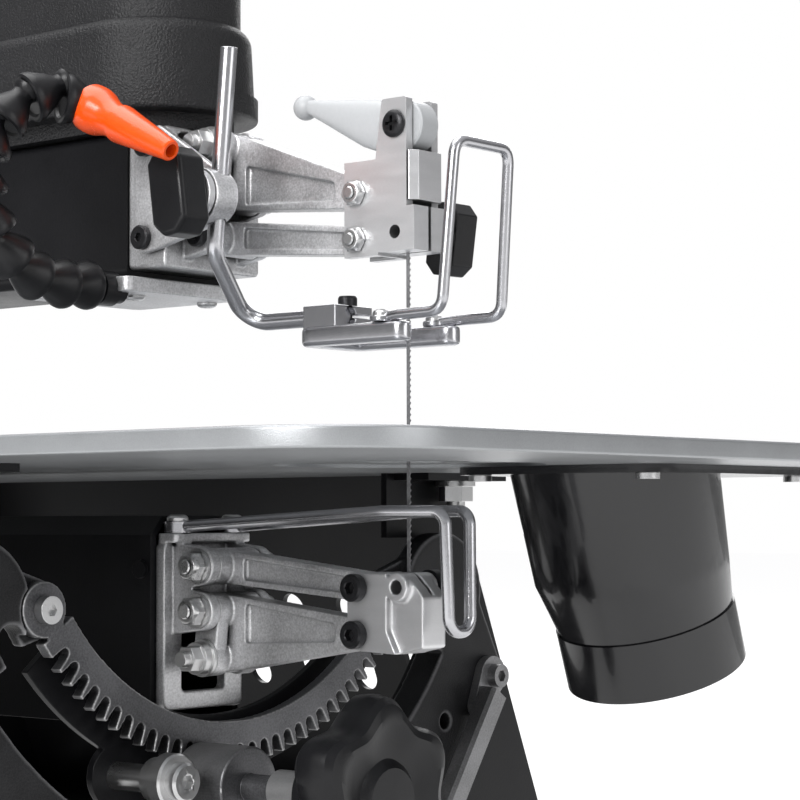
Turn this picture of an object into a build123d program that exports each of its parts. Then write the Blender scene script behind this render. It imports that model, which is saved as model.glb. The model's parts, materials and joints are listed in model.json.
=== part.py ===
"""Tilting-head scroll saw with parallel-link arms, on its bench base.

Sizes are in millimetres. Places are given from the point where the blade crosses the
table top: X to the operator's right, Y to the rear, Z up. The functions below put
them in the part's own frame, whose origin is the centre of the base's bolt pattern.
"""
import os
from math import asin, atan2, cos, degrees, hypot, radians, sin, sqrt, tan

from build123d import *

os.makedirs("parts", exist_ok=True)

# ---------------------------------------------------------------- driving dimensions
BLADE_Y = -300.0  # blade line in front of the base's bolt pattern
TABLE_TOP = 175.0  # height of the table top above the base's underside
THROAT = 533.0  # blade to rear column
GAP = 0.3  # between faces of different bodies

TABLE_WIDTH, TABLE_LENGTH, TABLE_THICK = 349.0, 597.0, 6.6
TABLE_FRONT = -124.0
TABLE_CORNER_R = 46.0
TABLE_BOLT_X = 143.0

SHEET = 3.0  # base and arm sheet metal
BASE_FRONT, BASE_REAR = 101.0, 445.0
BASE_BOLT_X, BASE_BOLT_Y = 190.0, 136.0
BASE_BOLT_R = 4.5

RING_IN, RING_OUT = 151.0, 188.0  # fixed trunnion rings, centred on the tilt axis
RING_FACE = 86.0
SECTOR_TEETH, PINION_PINS = 106, 9  # per full turn
SECTOR_TIP, SECTOR_ROOT, SECTOR_IN = 119.5, 112.0, 103.0
SECTOR_THICK = 5.0
LUG_R, LUG_ANGLE = 112.6, 59.2
PINION_X, PINION_Z = -20.0, -124.5
PIN_R = 1.4
TILT_RIGHT = 35.0

STROKE = 19.0
LINK_Y = 17.5  # front pivots
REAR_Y = 89.7  # fixed pivots
LINK_DROP = 7.0  # rear pivots above the front ones at rest
UPPER_PINS = (92.4, 75.4)  # front pivot heights, upper arm
LOWER_PINS = (-50.9, -67.8)
ROD_ARM = 18.0  # bell-crank pivot to push-rod pin
ROCKER_Y = THROAT + 40.0
PIN = 3.0  # pivot pin radius
FIT = 0.05  # radial running clearance

BLADE_WIDTH, BLADE_THICK = 1.8, 0.5
BLADE_BOTTOM, BLADE_TIP = -53.0, 74.0

SLOPE = degrees(asin(LINK_DROP / hypot(REAR_Y - LINK_Y, LINK_DROP)))
STROKE_HALF = degrees(asin(STROKE / 2 / hypot(REAR_Y - LINK_Y, LINK_DROP)))
ROD_SHIFT = ROD_ARM * sin(radians(SLOPE))
ROD_RISE = ROD_ARM * cos(radians(SLOPE))
UPPER_ROD_Z = UPPER_PINS[0] + LINK_DROP + ROD_RISE
LOWER_ROD_Z = LOWER_PINS[1] + LINK_DROP - ROD_RISE
ROCKER_Z = (UPPER_ROD_Z + LOWER_ROD_Z) / 2
PINION_ANGLE = degrees(atan2(PINION_X, -PINION_Z))  # from straight down, left negative
PITCH = 360 / SECTOR_TEETH


# ---------------------------------------------------------------- places and profiles
def at(x, y, z):
    """A place given from the blade at the table top."""
    return (x, BLADE_Y + y, TABLE_TOP + z)


def level(z):
    """Sketch plane at a height: sketch axes are X and Y, and extruding goes up."""
    return Plane(origin=at(0, 0, z))


def side(x):
    """Sketch plane across the saw: sketch axes are Y and Z, extruding goes right."""
    return Plane(origin=at(x, 0, 0), x_dir=(0, 1, 0), z_dir=(1, 0, 0))


def front(y):
    """Sketch plane facing the operator: axes X and Z, extruding goes forward."""
    return Plane(origin=at(0, y, 0), x_dir=(1, 0, 0), z_dir=(0, -1, 0))


def slab(plane, points, depth, mode=Mode.ADD, corner=0):
    """Extruded outline with straight sides."""
    with BuildSketch(plane) as outline:
        Polygon(*points, align=None)
        if corner:
            fillet(outline.vertices(), corner)
    extrude(outline.sketch, amount=depth, mode=mode)


def block(low, high, mode=Mode.ADD, corner=0):
    """Straight block between two corners, its upright edges rounded by corner."""
    (x0, y0, z0), (x1, y1, z1) = low, high
    slab(level(z0), [(x0, y0), (x1, y0), (x1, y1), (x0, y1)], z1 - z0, mode, corner)


def drum(plane, centre, radius, depth, mode=Mode.ADD, bore=0):
    """Round boss, pin or hole."""
    with BuildSketch(plane) as outline:
        with Locations(centre):
            Circle(radius)
            if bore:
                Circle(bore, mode=Mode.SUBTRACT)
    extrude(outline.sketch, amount=depth, mode=mode)


def hexagon(plane, centre, across, depth, bore=0):
    """Hexagon nut, across its flats."""
    with BuildSketch(plane) as outline:
        with Locations(centre):
            RegularPolygon(across / 2, 6, major_radius=False)
            if bore:
                Circle(bore, mode=Mode.SUBTRACT)
    extrude(outline.sketch, amount=depth)


def strap(plane, first, first_r, last, last_r, depth, mode=Mode.ADD):
    """Two round bosses joined by their outer tangents."""
    with BuildSketch(plane) as outline:
        with Locations(first):
            Circle(first_r)
        with Locations(last):
            Circle(last_r)
        make_hull()
    extrude(outline.sketch, amount=depth, mode=mode)


def wire(points, radii, radius):
    """Round wire bent along straight runs."""
    with BuildLine() as path:
        FilletPolyline(*[at(*p) for p in points], radius=radii)
    with BuildSketch(Plane(origin=path.line @ 0, z_dir=path.line % 0)) as section:
        Circle(radius)
    sweep(section.sketch, path=path.line)


def polar(radius, angle):
    """X and Z of a place round the tilt axis, its angle from straight down."""
    return (radius * sin(radians(angle)), -radius * cos(radians(angle)))


def arc_band(plane, inner, outer, start, end, depth, mode=Mode.ADD):
    """Part of a ring round the tilt axis, between two angles from straight down."""
    with BuildSketch(plane) as outline:
        with BuildLine():
            ThreePointArc(polar(outer, start), polar(outer, (start + end) / 2), polar(outer, end))
            Line(polar(outer, end), polar(inner, end))
            ThreePointArc(polar(inner, end), polar(inner, (start + end) / 2), polar(inner, start))
            Line(polar(inner, start), polar(outer, start))
        make_face()
    extrude(outline.sketch, amount=depth, mode=mode)


def cap_screw(plane, centre, radius, head, socket=1.6, stem=0, stem_r=0):
    """Socket head on a plane's near side, with an optional stem behind it."""
    drum(plane, centre, radius, head)
    with BuildSketch(plane.offset(head)) as recess:
        with Locations(centre):
            RegularPolygon(socket, 6)
    extrude(recess.sketch, amount=-head / 2, mode=Mode.SUBTRACT)
    if stem:
        drum(plane, centre, stem_r, -stem)


def save(part, label):
    part.label = label
    export_step(part, f"parts/{label}.step")


# ================================================================ fixed base
def base_half_width(z):
    """Half the front plate's width at a height."""
    return 157.0 + (212.0 - 157.0) * (-20.0 - z) / 130.0


SHELL_TOP = -TABLE_THICK
FLOOR = -TABLE_TOP
OPENING_R, OPENING_X = 153.0, 136.0
BOLT_FRONT, BOLT_REAR = BASE_FRONT - 9, BASE_REAR + 9
SLOT_FIRST, SLOT_STEP, SLOT_COUNT = 148.0, 34.0, 9

with BuildPart() as base_frame:
    top, foot = base_half_width(SHELL_TOP), base_half_width(FLOOR)
    slab(front(BASE_REAR), [(-foot, FLOOR), (foot, FLOOR), (top, SHELL_TOP), (-top, SHELL_TOP)],
         BASE_REAR - BASE_FRONT)
    inner_top, inner_foot = top - 1.1 * SHEET, foot - 1.1 * SHEET
    slab(front(BASE_REAR - SHEET),
         [(-inner_foot, FLOOR - 1), (inner_foot, FLOOR - 1), (inner_top, SHELL_TOP + 1),
          (-inner_top, SHELL_TOP + 1)], BASE_REAR - BASE_FRONT - 2 * SHEET, Mode.SUBTRACT)
    with BuildSketch(front(BASE_REAR + 1)) as opening:
        Circle(OPENING_R)
        Rectangle(2 * OPENING_X, 2 * OPENING_R, mode=Mode.INTERSECT)
    extrude(opening.sketch, amount=BASE_REAR - BASE_FRONT + 2, mode=Mode.SUBTRACT)
    for x_sign in (-1, 1):
        for y0, y1 in ((BOLT_FRONT - 10, BASE_FRONT + SHEET), (BASE_REAR - SHEET, BOLT_REAR + 10)):
            block((min(112 * x_sign, 166 * x_sign), y0, SHELL_TOP - SHEET),
                  (max(112 * x_sign, 166 * x_sign), y1, SHELL_TOP))
        for y0 in (BASE_FRONT, BASE_REAR - SHEET):
            block((min(107 * x_sign, 148 * x_sign), y0, -34),
                  (max(107 * x_sign, 148 * x_sign), y0 + SHEET, SHELL_TOP))
        block((min(172 * x_sign, (foot - 2) * x_sign), BASE_FRONT + 1, FLOOR),
              (max(172 * x_sign, (foot - 2) * x_sign), BASE_REAR - 1, FLOOR + SHEET))
    for n in range(SLOT_COUNT):
        y = SLOT_FIRST + n * SLOT_STEP
        with BuildSketch(side(-240)) as vent:
            with Locations((y, -84)):
                SlotOverall(45, 13, rotation=90)
        extrude(vent.sketch, amount=480, mode=Mode.SUBTRACT)
    with BuildSketch(level(FLOOR - 1)) as bolt_holes:
        with Locations((0, -BLADE_Y)):
            with GridLocations(2 * BASE_BOLT_X, 2 * BASE_BOLT_Y, 2, 2):
                Circle(BASE_BOLT_R)
    extrude(bolt_holes.sketch, amount=SHEET + 2, mode=Mode.SUBTRACT)
    with BuildSketch(level(SHELL_TOP - 8)) as table_holes:
        for y in (BOLT_FRONT, BOLT_REAR):
            with Locations((-TABLE_BOLT_X, y), (TABLE_BOLT_X, y)):
                Circle(4.2)
    extrude(table_holes.sketch, amount=8.5, mode=Mode.SUBTRACT)
save(base_frame.part, "base_frame")

with BuildPart() as mains_gland:
    drum(front(BASE_REAR + 13), (-178, -150), 9.5, 13)
    drum(front(BASE_REAR + 13.5), (-178, -150), 4, 14, Mode.SUBTRACT)
save(mains_gland.part, "mains_gland")

EAR_X, EAR_Z, EAR_R = 128.0, -57.0, 25.0
RING_SPAN = 57.0


def trunnion_ring(face, back, ear_face, ear_back):
    """Cast C ring under the table; the saw head's shoe runs inside it."""
    with BuildPart() as ring:
        arc_band(front(back), RING_IN, RING_OUT, -RING_SPAN, RING_SPAN, back - face)
        strap(front(back), (EAR_X, EAR_Z), 19, (156, -94), 12, back - face)
        drum(front(back + 1), (0, 0), RING_IN, back - face + 2, Mode.SUBTRACT)
        for x_sign in (-1, 1):
            drum(front(ear_back), (EAR_X * x_sign, EAR_Z), EAR_R, ear_back - ear_face)
            drum(front(back + 1), (130 * x_sign, -55), 3.2, back - face + 2, Mode.SUBTRACT)
            drum(front(back + 1), (128 * x_sign, -112), 3.5, back - face + 2, Mode.SUBTRACT)
        block((-200, face - 1, FLOOR - 30), (200, back + 1, FLOOR + 2), Mode.SUBTRACT)
        drum(front(back + 1), (156, -94), 4.2, back - face + 2, Mode.SUBTRACT)
    return ring


# The head's clamp stud runs in a curved slot that opens from the left ear.
STUD_X, STUD_Z = -52.0, -120.0
STUD_R, STUD_ANGLE = hypot(STUD_X, STUD_Z), degrees(atan2(STUD_X, -STUD_Z))
STUD_WAY = 6.2
front_ring = trunnion_ring(RING_FACE, BASE_FRONT - 0.2, RING_FACE, RING_FACE + 10)
with BuildPart() as front_trunnion_ring:
    add(front_ring.part)
    for x_sign in (-1, 1):
        lug = polar(LUG_R, LUG_ANGLE)
        strap(front(RING_FACE + 10), (EAR_X * x_sign, EAR_Z), 20, (lug[0] * x_sign, lug[1]), 11,
              10 - SECTOR_THICK)
        drum(front(RING_FACE + 11), (lug[0] * x_sign, lug[1]), 2.6, 8, Mode.SUBTRACT)
        drum(front(RING_FACE + SECTOR_THICK), (lug[0] * x_sign, lug[1]), 10.4, 8, Mode.SUBTRACT)
    arc_band(front(RING_FACE + 11), STUD_R - STUD_WAY, STUD_R + STUD_WAY, STUD_ANGLE - TILT_RIGHT,
             STUD_ANGLE, 12, Mode.SUBTRACT)
    drum(front(RING_FACE + 11), polar(STUD_R, STUD_ANGLE - TILT_RIGHT), STUD_WAY, 12, Mode.SUBTRACT)
save(front_trunnion_ring.part, "front_trunnion_ring")

rear_ring = trunnion_ring(BASE_REAR + 0.2, BASE_REAR + 15, BASE_REAR + 9.8, BASE_REAR + 15)
save(rear_ring.part, "rear_trunnion_ring")

with BuildPart() as tilt_sector:
    arc_band(front(RING_FACE + SECTOR_THICK), SECTOR_IN, SECTOR_TIP, -LUG_ANGLE + 5, LUG_ANGLE - 5,
             SECTOR_THICK)
    for x_sign in (-1, 1):
        drum(front(RING_FACE + SECTOR_THICK), tuple(
            v * s for v, s in zip(polar(LUG_R, LUG_ANGLE), (x_sign, 1))), 10, SECTOR_THICK)
    with BuildSketch(front(RING_FACE + SECTOR_THICK + 1)) as tooth_gaps:
        for n in range(-12, 17):
            angle = PINION_ANGLE + n * PITCH
            root_r = 1.9
            waist = SECTOR_ROOT + root_r
            with Locations(Location((*polar(waist, angle), 0), angle)):
                Circle(root_r)
                Polygon((-root_r, 0), (root_r, 0), (2.9, -(SECTOR_TIP + 1 - waist)),
                        (-2.9, -(SECTOR_TIP + 1 - waist)), align=None)
    extrude(tooth_gaps.sketch, amount=SECTOR_THICK + 2, mode=Mode.SUBTRACT)
    for x_sign in (-1, 1):
        lug = polar(LUG_R, LUG_ANGLE)
        drum(front(RING_FACE + SECTOR_THICK + 1), (lug[0] * x_sign, lug[1]), 3.2, 8, Mode.SUBTRACT)
save(tilt_sector.part, "tilt_sector")


INSERT_R = 25.0
with BuildPart() as table:
    with BuildSketch(level(-TABLE_THICK)) as outline:
        with Locations((0, TABLE_FRONT + TABLE_LENGTH / 2)):
            RectangleRounded(TABLE_WIDTH, TABLE_LENGTH, TABLE_CORNER_R)
    extrude(amount=TABLE_THICK)
    fillet(table.edges().group_by(Axis.Z)[-1], 1.2)
    fillet(table.edges().group_by(Axis.Z)[0], 0.8)
    drum(level(-TABLE_THICK - 1), (0, 0), 49.5, 2.2, Mode.SUBTRACT)
    drum(level(-TABLE_THICK - 1), (0, 0), INSERT_R - 3, TABLE_THICK + 2, Mode.SUBTRACT)
    drum(level(-2.2), (0, 0), INSERT_R, 4, Mode.SUBTRACT)
    for y in (BOLT_FRONT, BOLT_REAR):
        for x in (-TABLE_BOLT_X, TABLE_BOLT_X):
            drum(level(-TABLE_THICK - 1), (x, y), 4.2, TABLE_THICK + 2, Mode.SUBTRACT)
            drum(level(-3.4), (x, y), 8.2, 4, Mode.SUBTRACT)
save(table.part, "table")

with BuildPart() as table_insert:
    drum(level(-2.2), (0, 0), INSERT_R - 0.1, 2.2)
    with BuildSketch(level(-3)) as blade_slot:
        SlotOverall(18, 9)
    extrude(blade_slot.sketch, amount=4, mode=Mode.SUBTRACT)
save(table_insert.part, "table_insert")


# Dust port: a hood under the table that narrows and bends to a hose outlet.
PORT_Y = -30.0
PORT_FLANGE = 3.0
PORT_WALL = 2.5
# Each station: centre X and Z, radius, and the pipe's lean from straight down.
PORT_STATIONS = ((86.0, -TABLE_THICK - 0.2, 40.0, 0), (97.5, -46.0, 37.6, 14), (106.5, -63.0, 34.2, 20))
OUTLET_R, OUTLET_LENGTH = 35.0, 23.0


def port_plane(station):
    x, z, _, lean = station
    return Plane(origin=at(x, PORT_Y, z), x_dir=(cos(radians(lean)), 0, sin(radians(lean))),
                 z_dir=(sin(radians(lean)), 0, -cos(radians(lean))))


def port_shell(shrink):
    """Hood, neck and outlet pipe, all shrunk by a wall's thickness."""
    sections = []
    for station in PORT_STATIONS:
        with BuildSketch(port_plane(station)) as section:
            Circle(station[2] - shrink)
        sections.append(section.sketch)
    loft(sections, ruled=True)
    drum(port_plane(PORT_STATIONS[-1]).offset(-0.5), (0, 0), OUTLET_R - shrink, OUTLET_LENGTH)


with BuildPart() as dust_port:
    port_shell(0)
    with BuildSketch(level(-TABLE_THICK - PORT_FLANGE)) as flange:
        with Locations((104, PORT_Y)):
            RectangleRounded(122, 96, 14)
    extrude(flange.sketch, amount=PORT_FLANGE - 0.1)
    with BuildPart(mode=Mode.PRIVATE) as port_inside:
        port_shell(PORT_WALL)
        drum(port_plane(PORT_STATIONS[-1]), (0, 0), OUTLET_R - PORT_WALL, OUTLET_LENGTH + 5)
        drum(level(-TABLE_THICK - 4), (PORT_STATIONS[0][0], PORT_Y), 37.5, 6)
    add(port_inside.part, mode=Mode.SUBTRACT)
    block((66, PORT_Y + 20, -32), (104, PORT_Y + 60, -12), Mode.SUBTRACT)
    with BuildSketch(level(-14)) as flange_holes:
        with Locations((52, PORT_Y - 38), (156, PORT_Y - 38), (52, PORT_Y + 38), (156, PORT_Y + 38)):
            Circle(2.2)
    extrude(flange_holes.sketch, amount=9, mode=Mode.SUBTRACT)
save(dust_port.part, "dust_port")

with BuildPart() as base_fasteners:
    for y in (BOLT_FRONT, BOLT_REAR):
        for x in (-TABLE_BOLT_X, TABLE_BOLT_X):
            drum(level(-3.4), (x, y), 8, 3.2)
            drum(level(-24), (x, y), 4, 21)
            drum(level(-12), (x, y), 8.5, 2.3)
            hexagon(level(-18.5), (x, y), 13, 6.5)
    for x_sign in (-1, 1):
        lug = polar(LUG_R, LUG_ANGLE)
        cap_screw(front(RING_FACE), (lug[0] * x_sign, lug[1]), 5, 4, 2.2, 9, 2.5)
    for x in (52, 156):
        for y in (PORT_Y - 38, PORT_Y + 38):
            drum(level(-TABLE_THICK - PORT_FLANGE - 2.4), (x, y), 4.5, 2.3)
            drum(level(-TABLE_THICK - PORT_FLANGE - 1), (x, y), 2, PORT_FLANGE + 0.9)
save(base_fasteners.part, "base_fasteners")

# ================================================================ tilt lock
LOCK_X, LOCK_Z = 156.0, -94.0
LEVER_END = (112.0, -158.0)
BAR_FACE = RING_FACE - 7.8
lever_reach = (LEVER_END[0] - LOCK_X, LEVER_END[1] - LOCK_Z)
lever_length = hypot(*lever_reach)
lever_dir = Vector(lever_reach[0] / lever_length, 0, lever_reach[1] / lever_length)


def along_lever(distance):
    """Plane square to the lever's bar, at a distance from its bolt."""
    start = Vector(*at(LOCK_X, BAR_FACE, LOCK_Z)) + lever_dir * distance
    return Plane(origin=start, x_dir=(0, 1, 0), z_dir=lever_dir)


BAR_DEPTH, BAR_WIDTH = 8.8, 11.0
with BuildPart() as tilt_lock_lever:
    neck = (LOCK_X + lever_dir.X * 15, LOCK_Z + lever_dir.Z * 15)
    strap(front(RING_FACE - GAP), (LOCK_X, LOCK_Z), 8.5, neck, 5, 4)
    with BuildSketch(along_lever(8.5)) as bar:
        Rectangle(BAR_DEPTH, BAR_WIDTH)
        chamfer(bar.vertices(), 1.5)
    extrude(bar.sketch, amount=lever_length - 8.5)
    drum(front(RING_FACE + 14.5), (LOCK_X, LOCK_Z), 4.1, 16)
    cap_screw(front(RING_FACE - GAP - 4), (LOCK_X, LOCK_Z), 5, 4.5, 2.6)
save(tilt_lock_lever.part, "tilt_lock_lever")

with BuildPart() as tilt_lock_grip:
    with BuildSketch(along_lever(lever_length - 13)) as grip:
        Circle(7.7)
    extrude(grip.sketch, amount=16, taper=4)
    with BuildSketch(along_lever(0)) as bar_room:
        Rectangle(BAR_DEPTH + 0.1, BAR_WIDTH + 0.1)
        chamfer(bar_room.vertices(), 1.5)
    extrude(bar_room.sketch, amount=lever_length + 0.05, mode=Mode.SUBTRACT)
save(tilt_lock_grip.part, "tilt_lock_grip")

# ================================================================ tilting head
CARRIER_FACE, CARRIER_BACK = RING_FACE + 10.8, RING_FACE + 14.2
HOUSING_FRONT, HOUSING_REAR = 108.5, THROAT + 3
HOUSING_SECTION = [(-24, -105), (24, -105), (24, -32), (18, -24.5), (-18, -24.5), (-24, -32)]
SHOE_R = RING_IN - 0.3


def carrier(face, back, foot_to, inner):
    """Plate that hangs the head in a trunnion ring, by its shoe inside the ring."""
    with BuildPart() as plate:
        arc_band(front(back), inner, 124.5, -50, 50, back - face)
        arc_band(front(back), 110, SHOE_R, -24, 10, back - face)
        block((-22, min(face, foot_to), -111), (22, max(back, foot_to), -105.2))
    return plate


front_plate = carrier(CARRIER_FACE, CARRIER_BACK, 150, 101)
with BuildPart() as head_carrier:
    add(front_plate.part)
    drum(front(CARRIER_BACK), (STUD_X, STUD_Z), 12, CARRIER_BACK - CARRIER_FACE)
    drum(front(CARRIER_BACK + 7), (PINION_X, PINION_Z), 11, 8)
    drum(front(CARRIER_BACK + 9), (PINION_X, PINION_Z), 5 + FIT, 20, Mode.SUBTRACT)
save(head_carrier.part, "head_carrier")

rear_plate = carrier(BASE_REAR + 3, BASE_REAR + 9, BASE_REAR - 40, 108.3)
save(rear_plate.part, "rear_head_carrier")


with BuildPart() as lower_arm_housing:
    slab(front(HOUSING_REAR), HOUSING_SECTION, HOUSING_REAR - HOUSING_FRONT)
    slab(front(HOUSING_REAR + 1),
         [(-21, -102), (21, -102), (21, -33), (17, -27.5), (-17, -27.5), (-21, -33)],
         HOUSING_REAR - HOUSING_FRONT + 2, Mode.SUBTRACT)
    for y0 in (HOUSING_FRONT + 5, BASE_REAR - 60):
        for x_sign in (-1, 1):
            drum(side(24 * x_sign), (y0, -45), 3.5, 1.6 * x_sign)
save(lower_arm_housing.part, "lower_arm_housing")


def pivot_ears(y_back, pins, ear_r=7.5):
    """Two ears either side of each fixed pivot, reaching forward from a bracket."""
    for z in pins:
        for x0 in (-17, 12.3):
            strap(side(x0), (REAR_Y, z), ear_r, (y_back - 2, z), ear_r + 1.5, 4.7)


LOWER_FIXED = [z + LINK_DROP for z in LOWER_PINS]
UPPER_FIXED = [z + LINK_DROP for z in UPPER_PINS]
BRACKET_FACE = 103.5

with BuildPart() as lower_bracket:
    slab(front(HOUSING_FRONT - 0.1), [(-21.5, -99), (21.5, -99), (21.5, -34.7), (-21.5, -34.7)],
         HOUSING_FRONT - 0.1 - BRACKET_FACE, corner=3)
    pivot_ears(BRACKET_FACE + 2, LOWER_FIXED)
    slab(front(HOUSING_FRONT + 2), [(-11.8, -92), (11.8, -92), (11.8, -66.6), (-11.8, -66.6)], 12,
         Mode.SUBTRACT, corner=2)
    for z in LOWER_FIXED:
        drum(side(-18), (REAR_Y, z), PIN + 0.01, 36, Mode.SUBTRACT)
        drum(side(-12.3), (REAR_Y, z), 9.4, 24.6, Mode.SUBTRACT)
    block((-21, 98, -35), (21, HOUSING_FRONT - 0.1, -31.3), corner=2)
    for x in (-15, 15):
        drum(level(-36), (x, 103), 2.2, 6, Mode.SUBTRACT)
    slab(front(HOUSING_FRONT + 20), [(-16, -36), (-14.5, -33), (14.5, -33), (16, -36)], 20.2)
save(lower_bracket.part, "lower_bracket")


def fixed_pivot(pins, left_end):
    """Pivot pin through both ears, with a nut on the left and a head on the right."""
    for z in pins:
        drum(side(left_end), (REAR_Y, z), PIN, -left_end + 17)
        drum(side(-18.5), (REAR_Y, z), 6.5, 1.4)
        hexagon(side(left_end + 3), (REAR_Y, z), 10, -18.5 - left_end - 3)
        drum(side(17.1), (REAR_Y, z), 5.2, 5)



# Lower blade guard: a bent wire on the bracket's top, round the front of the links.
GUARD_WIRE = 2.25
with BuildPart() as lower_guard_wire:
    wire([(-15, 103, -29), (-14, 76, -27.5), (-10.5, 3, -23.5), (-7, -22, -23.5), (-6, -23, -66),
          (6, -23, -66), (7, -22, -23.5), (10.5, 3, -23.5), (14, 76, -27.5), (15, 103, -29)],
         [60, 40, 5, 5.5, 5.5, 5, 40, 60], GUARD_WIRE)
    for x in (-15, 15):
        drum(level(-31.1), (x, 103), 5.2, 4.2)
        drum(level(-32), (x, 103), 2.2, 6, Mode.SUBTRACT)
save(lower_guard_wire.part, "lower_guard_wire")


COLUMN_FRONT, COLUMN_REAR = THROAT, THROAT + 82
CHEEK_IN, CHEEK_OUT = 20.0, 29.0
with BuildPart() as rear_column:
    column = [(COLUMN_FRONT, -112), (COLUMN_REAR + 34, -112), (COLUMN_REAR + 44, -100),
              (COLUMN_REAR + 44, -10), (COLUMN_REAR, 34), (COLUMN_REAR, 120), (COLUMN_REAR - 22, 139),
              (COLUMN_FRONT + 22, 139), (COLUMN_FRONT, 120)]
    slab(side(-CHEEK_OUT), column, 2 * CHEEK_OUT, corner=6)
    inner = [(COLUMN_FRONT - 4, -104), (COLUMN_REAR + 36, -104), (COLUMN_REAR + 36, -14),
             (COLUMN_REAR - 8, 30), (COLUMN_REAR - 8, 117), (COLUMN_REAR - 25, 134.5),
             (COLUMN_FRONT - 4, 134.5),
             (COLUMN_FRONT - 4, 60), (COLUMN_FRONT + 8, 56), (COLUMN_FRONT + 8, -20),
             (COLUMN_FRONT - 4, -24)]
    slab(side(-CHEEK_IN), inner, 2 * CHEEK_IN, Mode.SUBTRACT)
    slab(front(HOUSING_REAR + 0.2),
         [(-24.1, -105.1), (24.1, -105.1), (24.1, -32), (18, -24.4), (-18, -24.4), (-24.1, -32)],
         20, Mode.SUBTRACT)
    drum(side(-40), (ROCKER_Y, ROCKER_Z), 5.01, 80, Mode.SUBTRACT)
    drum(side(-40), (ROCKER_Y - ROD_SHIFT, UPPER_ROD_Z), 5.01, 80, Mode.SUBTRACT)
    fillet(rear_column.faces().filter_by(Axis.X).sort_by(Axis.X)[-1].outer_wire().edges(), 3)
    fillet(rear_column.faces().filter_by(Axis.X).sort_by(Axis.X)[0].outer_wire().edges(), 3)
    drum(side(CHEEK_IN - 1), (COLUMN_REAR + 4, -60), 30, 20, Mode.SUBTRACT)
save(rear_column.part, "rear_column")

MOTOR_Y, MOTOR_Z, MOTOR_R = COLUMN_REAR + 4, -60.0, 47.0
CRANK_ARM = ROD_ARM * sin(radians(STROKE_HALF))
with BuildPart() as motor:
    drum(side(CHEEK_OUT + 0.1), (MOTOR_Y, MOTOR_Z), MOTOR_R, 82)
    fillet(motor.edges().group_by(Axis.X)[-1], 6)
    drum(side(CHEEK_IN + 1), (MOTOR_Y, MOTOR_Z), 29.8, 9)
    drum(side(CHEEK_IN), (MOTOR_Y, MOTOR_Z), 6 + FIT, 30, Mode.SUBTRACT)
    with BuildSketch(side(CHEEK_OUT + 20)) as fin_rings:
        for n in range(24):
            with Locations(Location((MOTOR_Y, MOTOR_Z, 0), n * 15)):
                with Locations((MOTOR_R, 0)):
                    Rectangle(4, 4)
    extrude(fin_rings.sketch, amount=50, mode=Mode.SUBTRACT)
save(motor.part, "motor")

with BuildPart() as motor_fan_cover:
    drum(side(CHEEK_OUT + 82.3), (MOTOR_Y, MOTOR_Z), MOTOR_R - 2, 12)
    fillet(motor_fan_cover.edges().group_by(Axis.X)[-1], 5)
    with BuildSketch(side(CHEEK_OUT + 82)) as grille:
        with Locations((MOTOR_Y, MOTOR_Z)):
            with PolarLocations(22, 12):
                SlotOverall(22, 4)
    extrude(grille.sketch, amount=20, mode=Mode.SUBTRACT)
save(motor_fan_cover.part, "motor_fan_cover")

with BuildPart() as head_fasteners:
    fixed_pivot(LOWER_FIXED, -28)
    for x in (-15, 15):
        drum(level(-26.6), (x, 103), 4.2, 2.4)
        drum(level(-34.6), (x, 103), 2.1, 8)
    drum(front(CARRIER_FACE), (STUD_X, STUD_Z), 5, 20)
    drum(front(CARRIER_FACE - 20), (STUD_X, STUD_Z), 8, 6)
    drum(front(CARRIER_FACE - 26), (STUD_X, STUD_Z), 10, 6)
    cap_screw(front(CARRIER_FACE - 32), (STUD_X, STUD_Z), 7, 5, 3)
    drum(side(-CHEEK_OUT), (ROCKER_Y, ROCKER_Z), 5, 2 * CHEEK_OUT)
    for x_sign in (-1, 1):
        drum(side(CHEEK_OUT * x_sign), (ROCKER_Y, ROCKER_Z), 9, 5 * x_sign)
save(head_fasteners.part, "head_fasteners")

# ================================================================ tilt knob and pinion
HUB_FRONT, HUB_BACK = 60.0, RING_FACE - 0.4
with BuildPart() as tilt_pinion:
    drum(front(HUB_BACK), (PINION_X, PINION_Z), 15, HUB_BACK - HUB_FRONT)
    fillet(tilt_pinion.edges().group_by(Axis.Y)[0], 1)
    mesh_r = hypot(PINION_X, PINION_Z) * PINION_PINS / (SECTOR_TEETH + PINION_PINS)
    for n in range(PINION_PINS):
        turn = radians(PINION_ANGLE + 180 + n * 360 / PINION_PINS)
        centre = (PINION_X + mesh_r * sin(turn), PINION_Z - mesh_r * cos(turn))
        drum(front(RING_FACE + 8), centre, PIN_R, 8.4)
    drum(front(RING_FACE + 8), (PINION_X, PINION_Z), 12.2, 2)
    drum(front(CARRIER_BACK + 8), (PINION_X, PINION_Z), 5, CARRIER_BACK + 8 - 30)
    drum(front(45), (PINION_X, PINION_Z), 7.5, 19)
    drum(front(CARRIER_BACK + 12), (PINION_X, PINION_Z), 8, 4)
save(tilt_pinion.part, "tilt_pinion")

KNOB_FRONT, KNOB_BACK = -10.0, 25.0
with BuildPart() as tilt_knob:
    with BuildSketch(front(KNOB_BACK)) as star:
        with Locations((PINION_X, PINION_Z)):
            Circle(37)
            with PolarLocations(48, 6):
                Circle(15, mode=Mode.SUBTRACT)
        fillet(star.vertices(), 7)
    extrude(star.sketch, amount=22)
    drum(front(KNOB_BACK - 20), (PINION_X, PINION_Z), 16, 14)
    fillet(tilt_knob.edges().group_by(Axis.Y)[0], 4)
save(tilt_knob.part, "tilt_knob")

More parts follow.
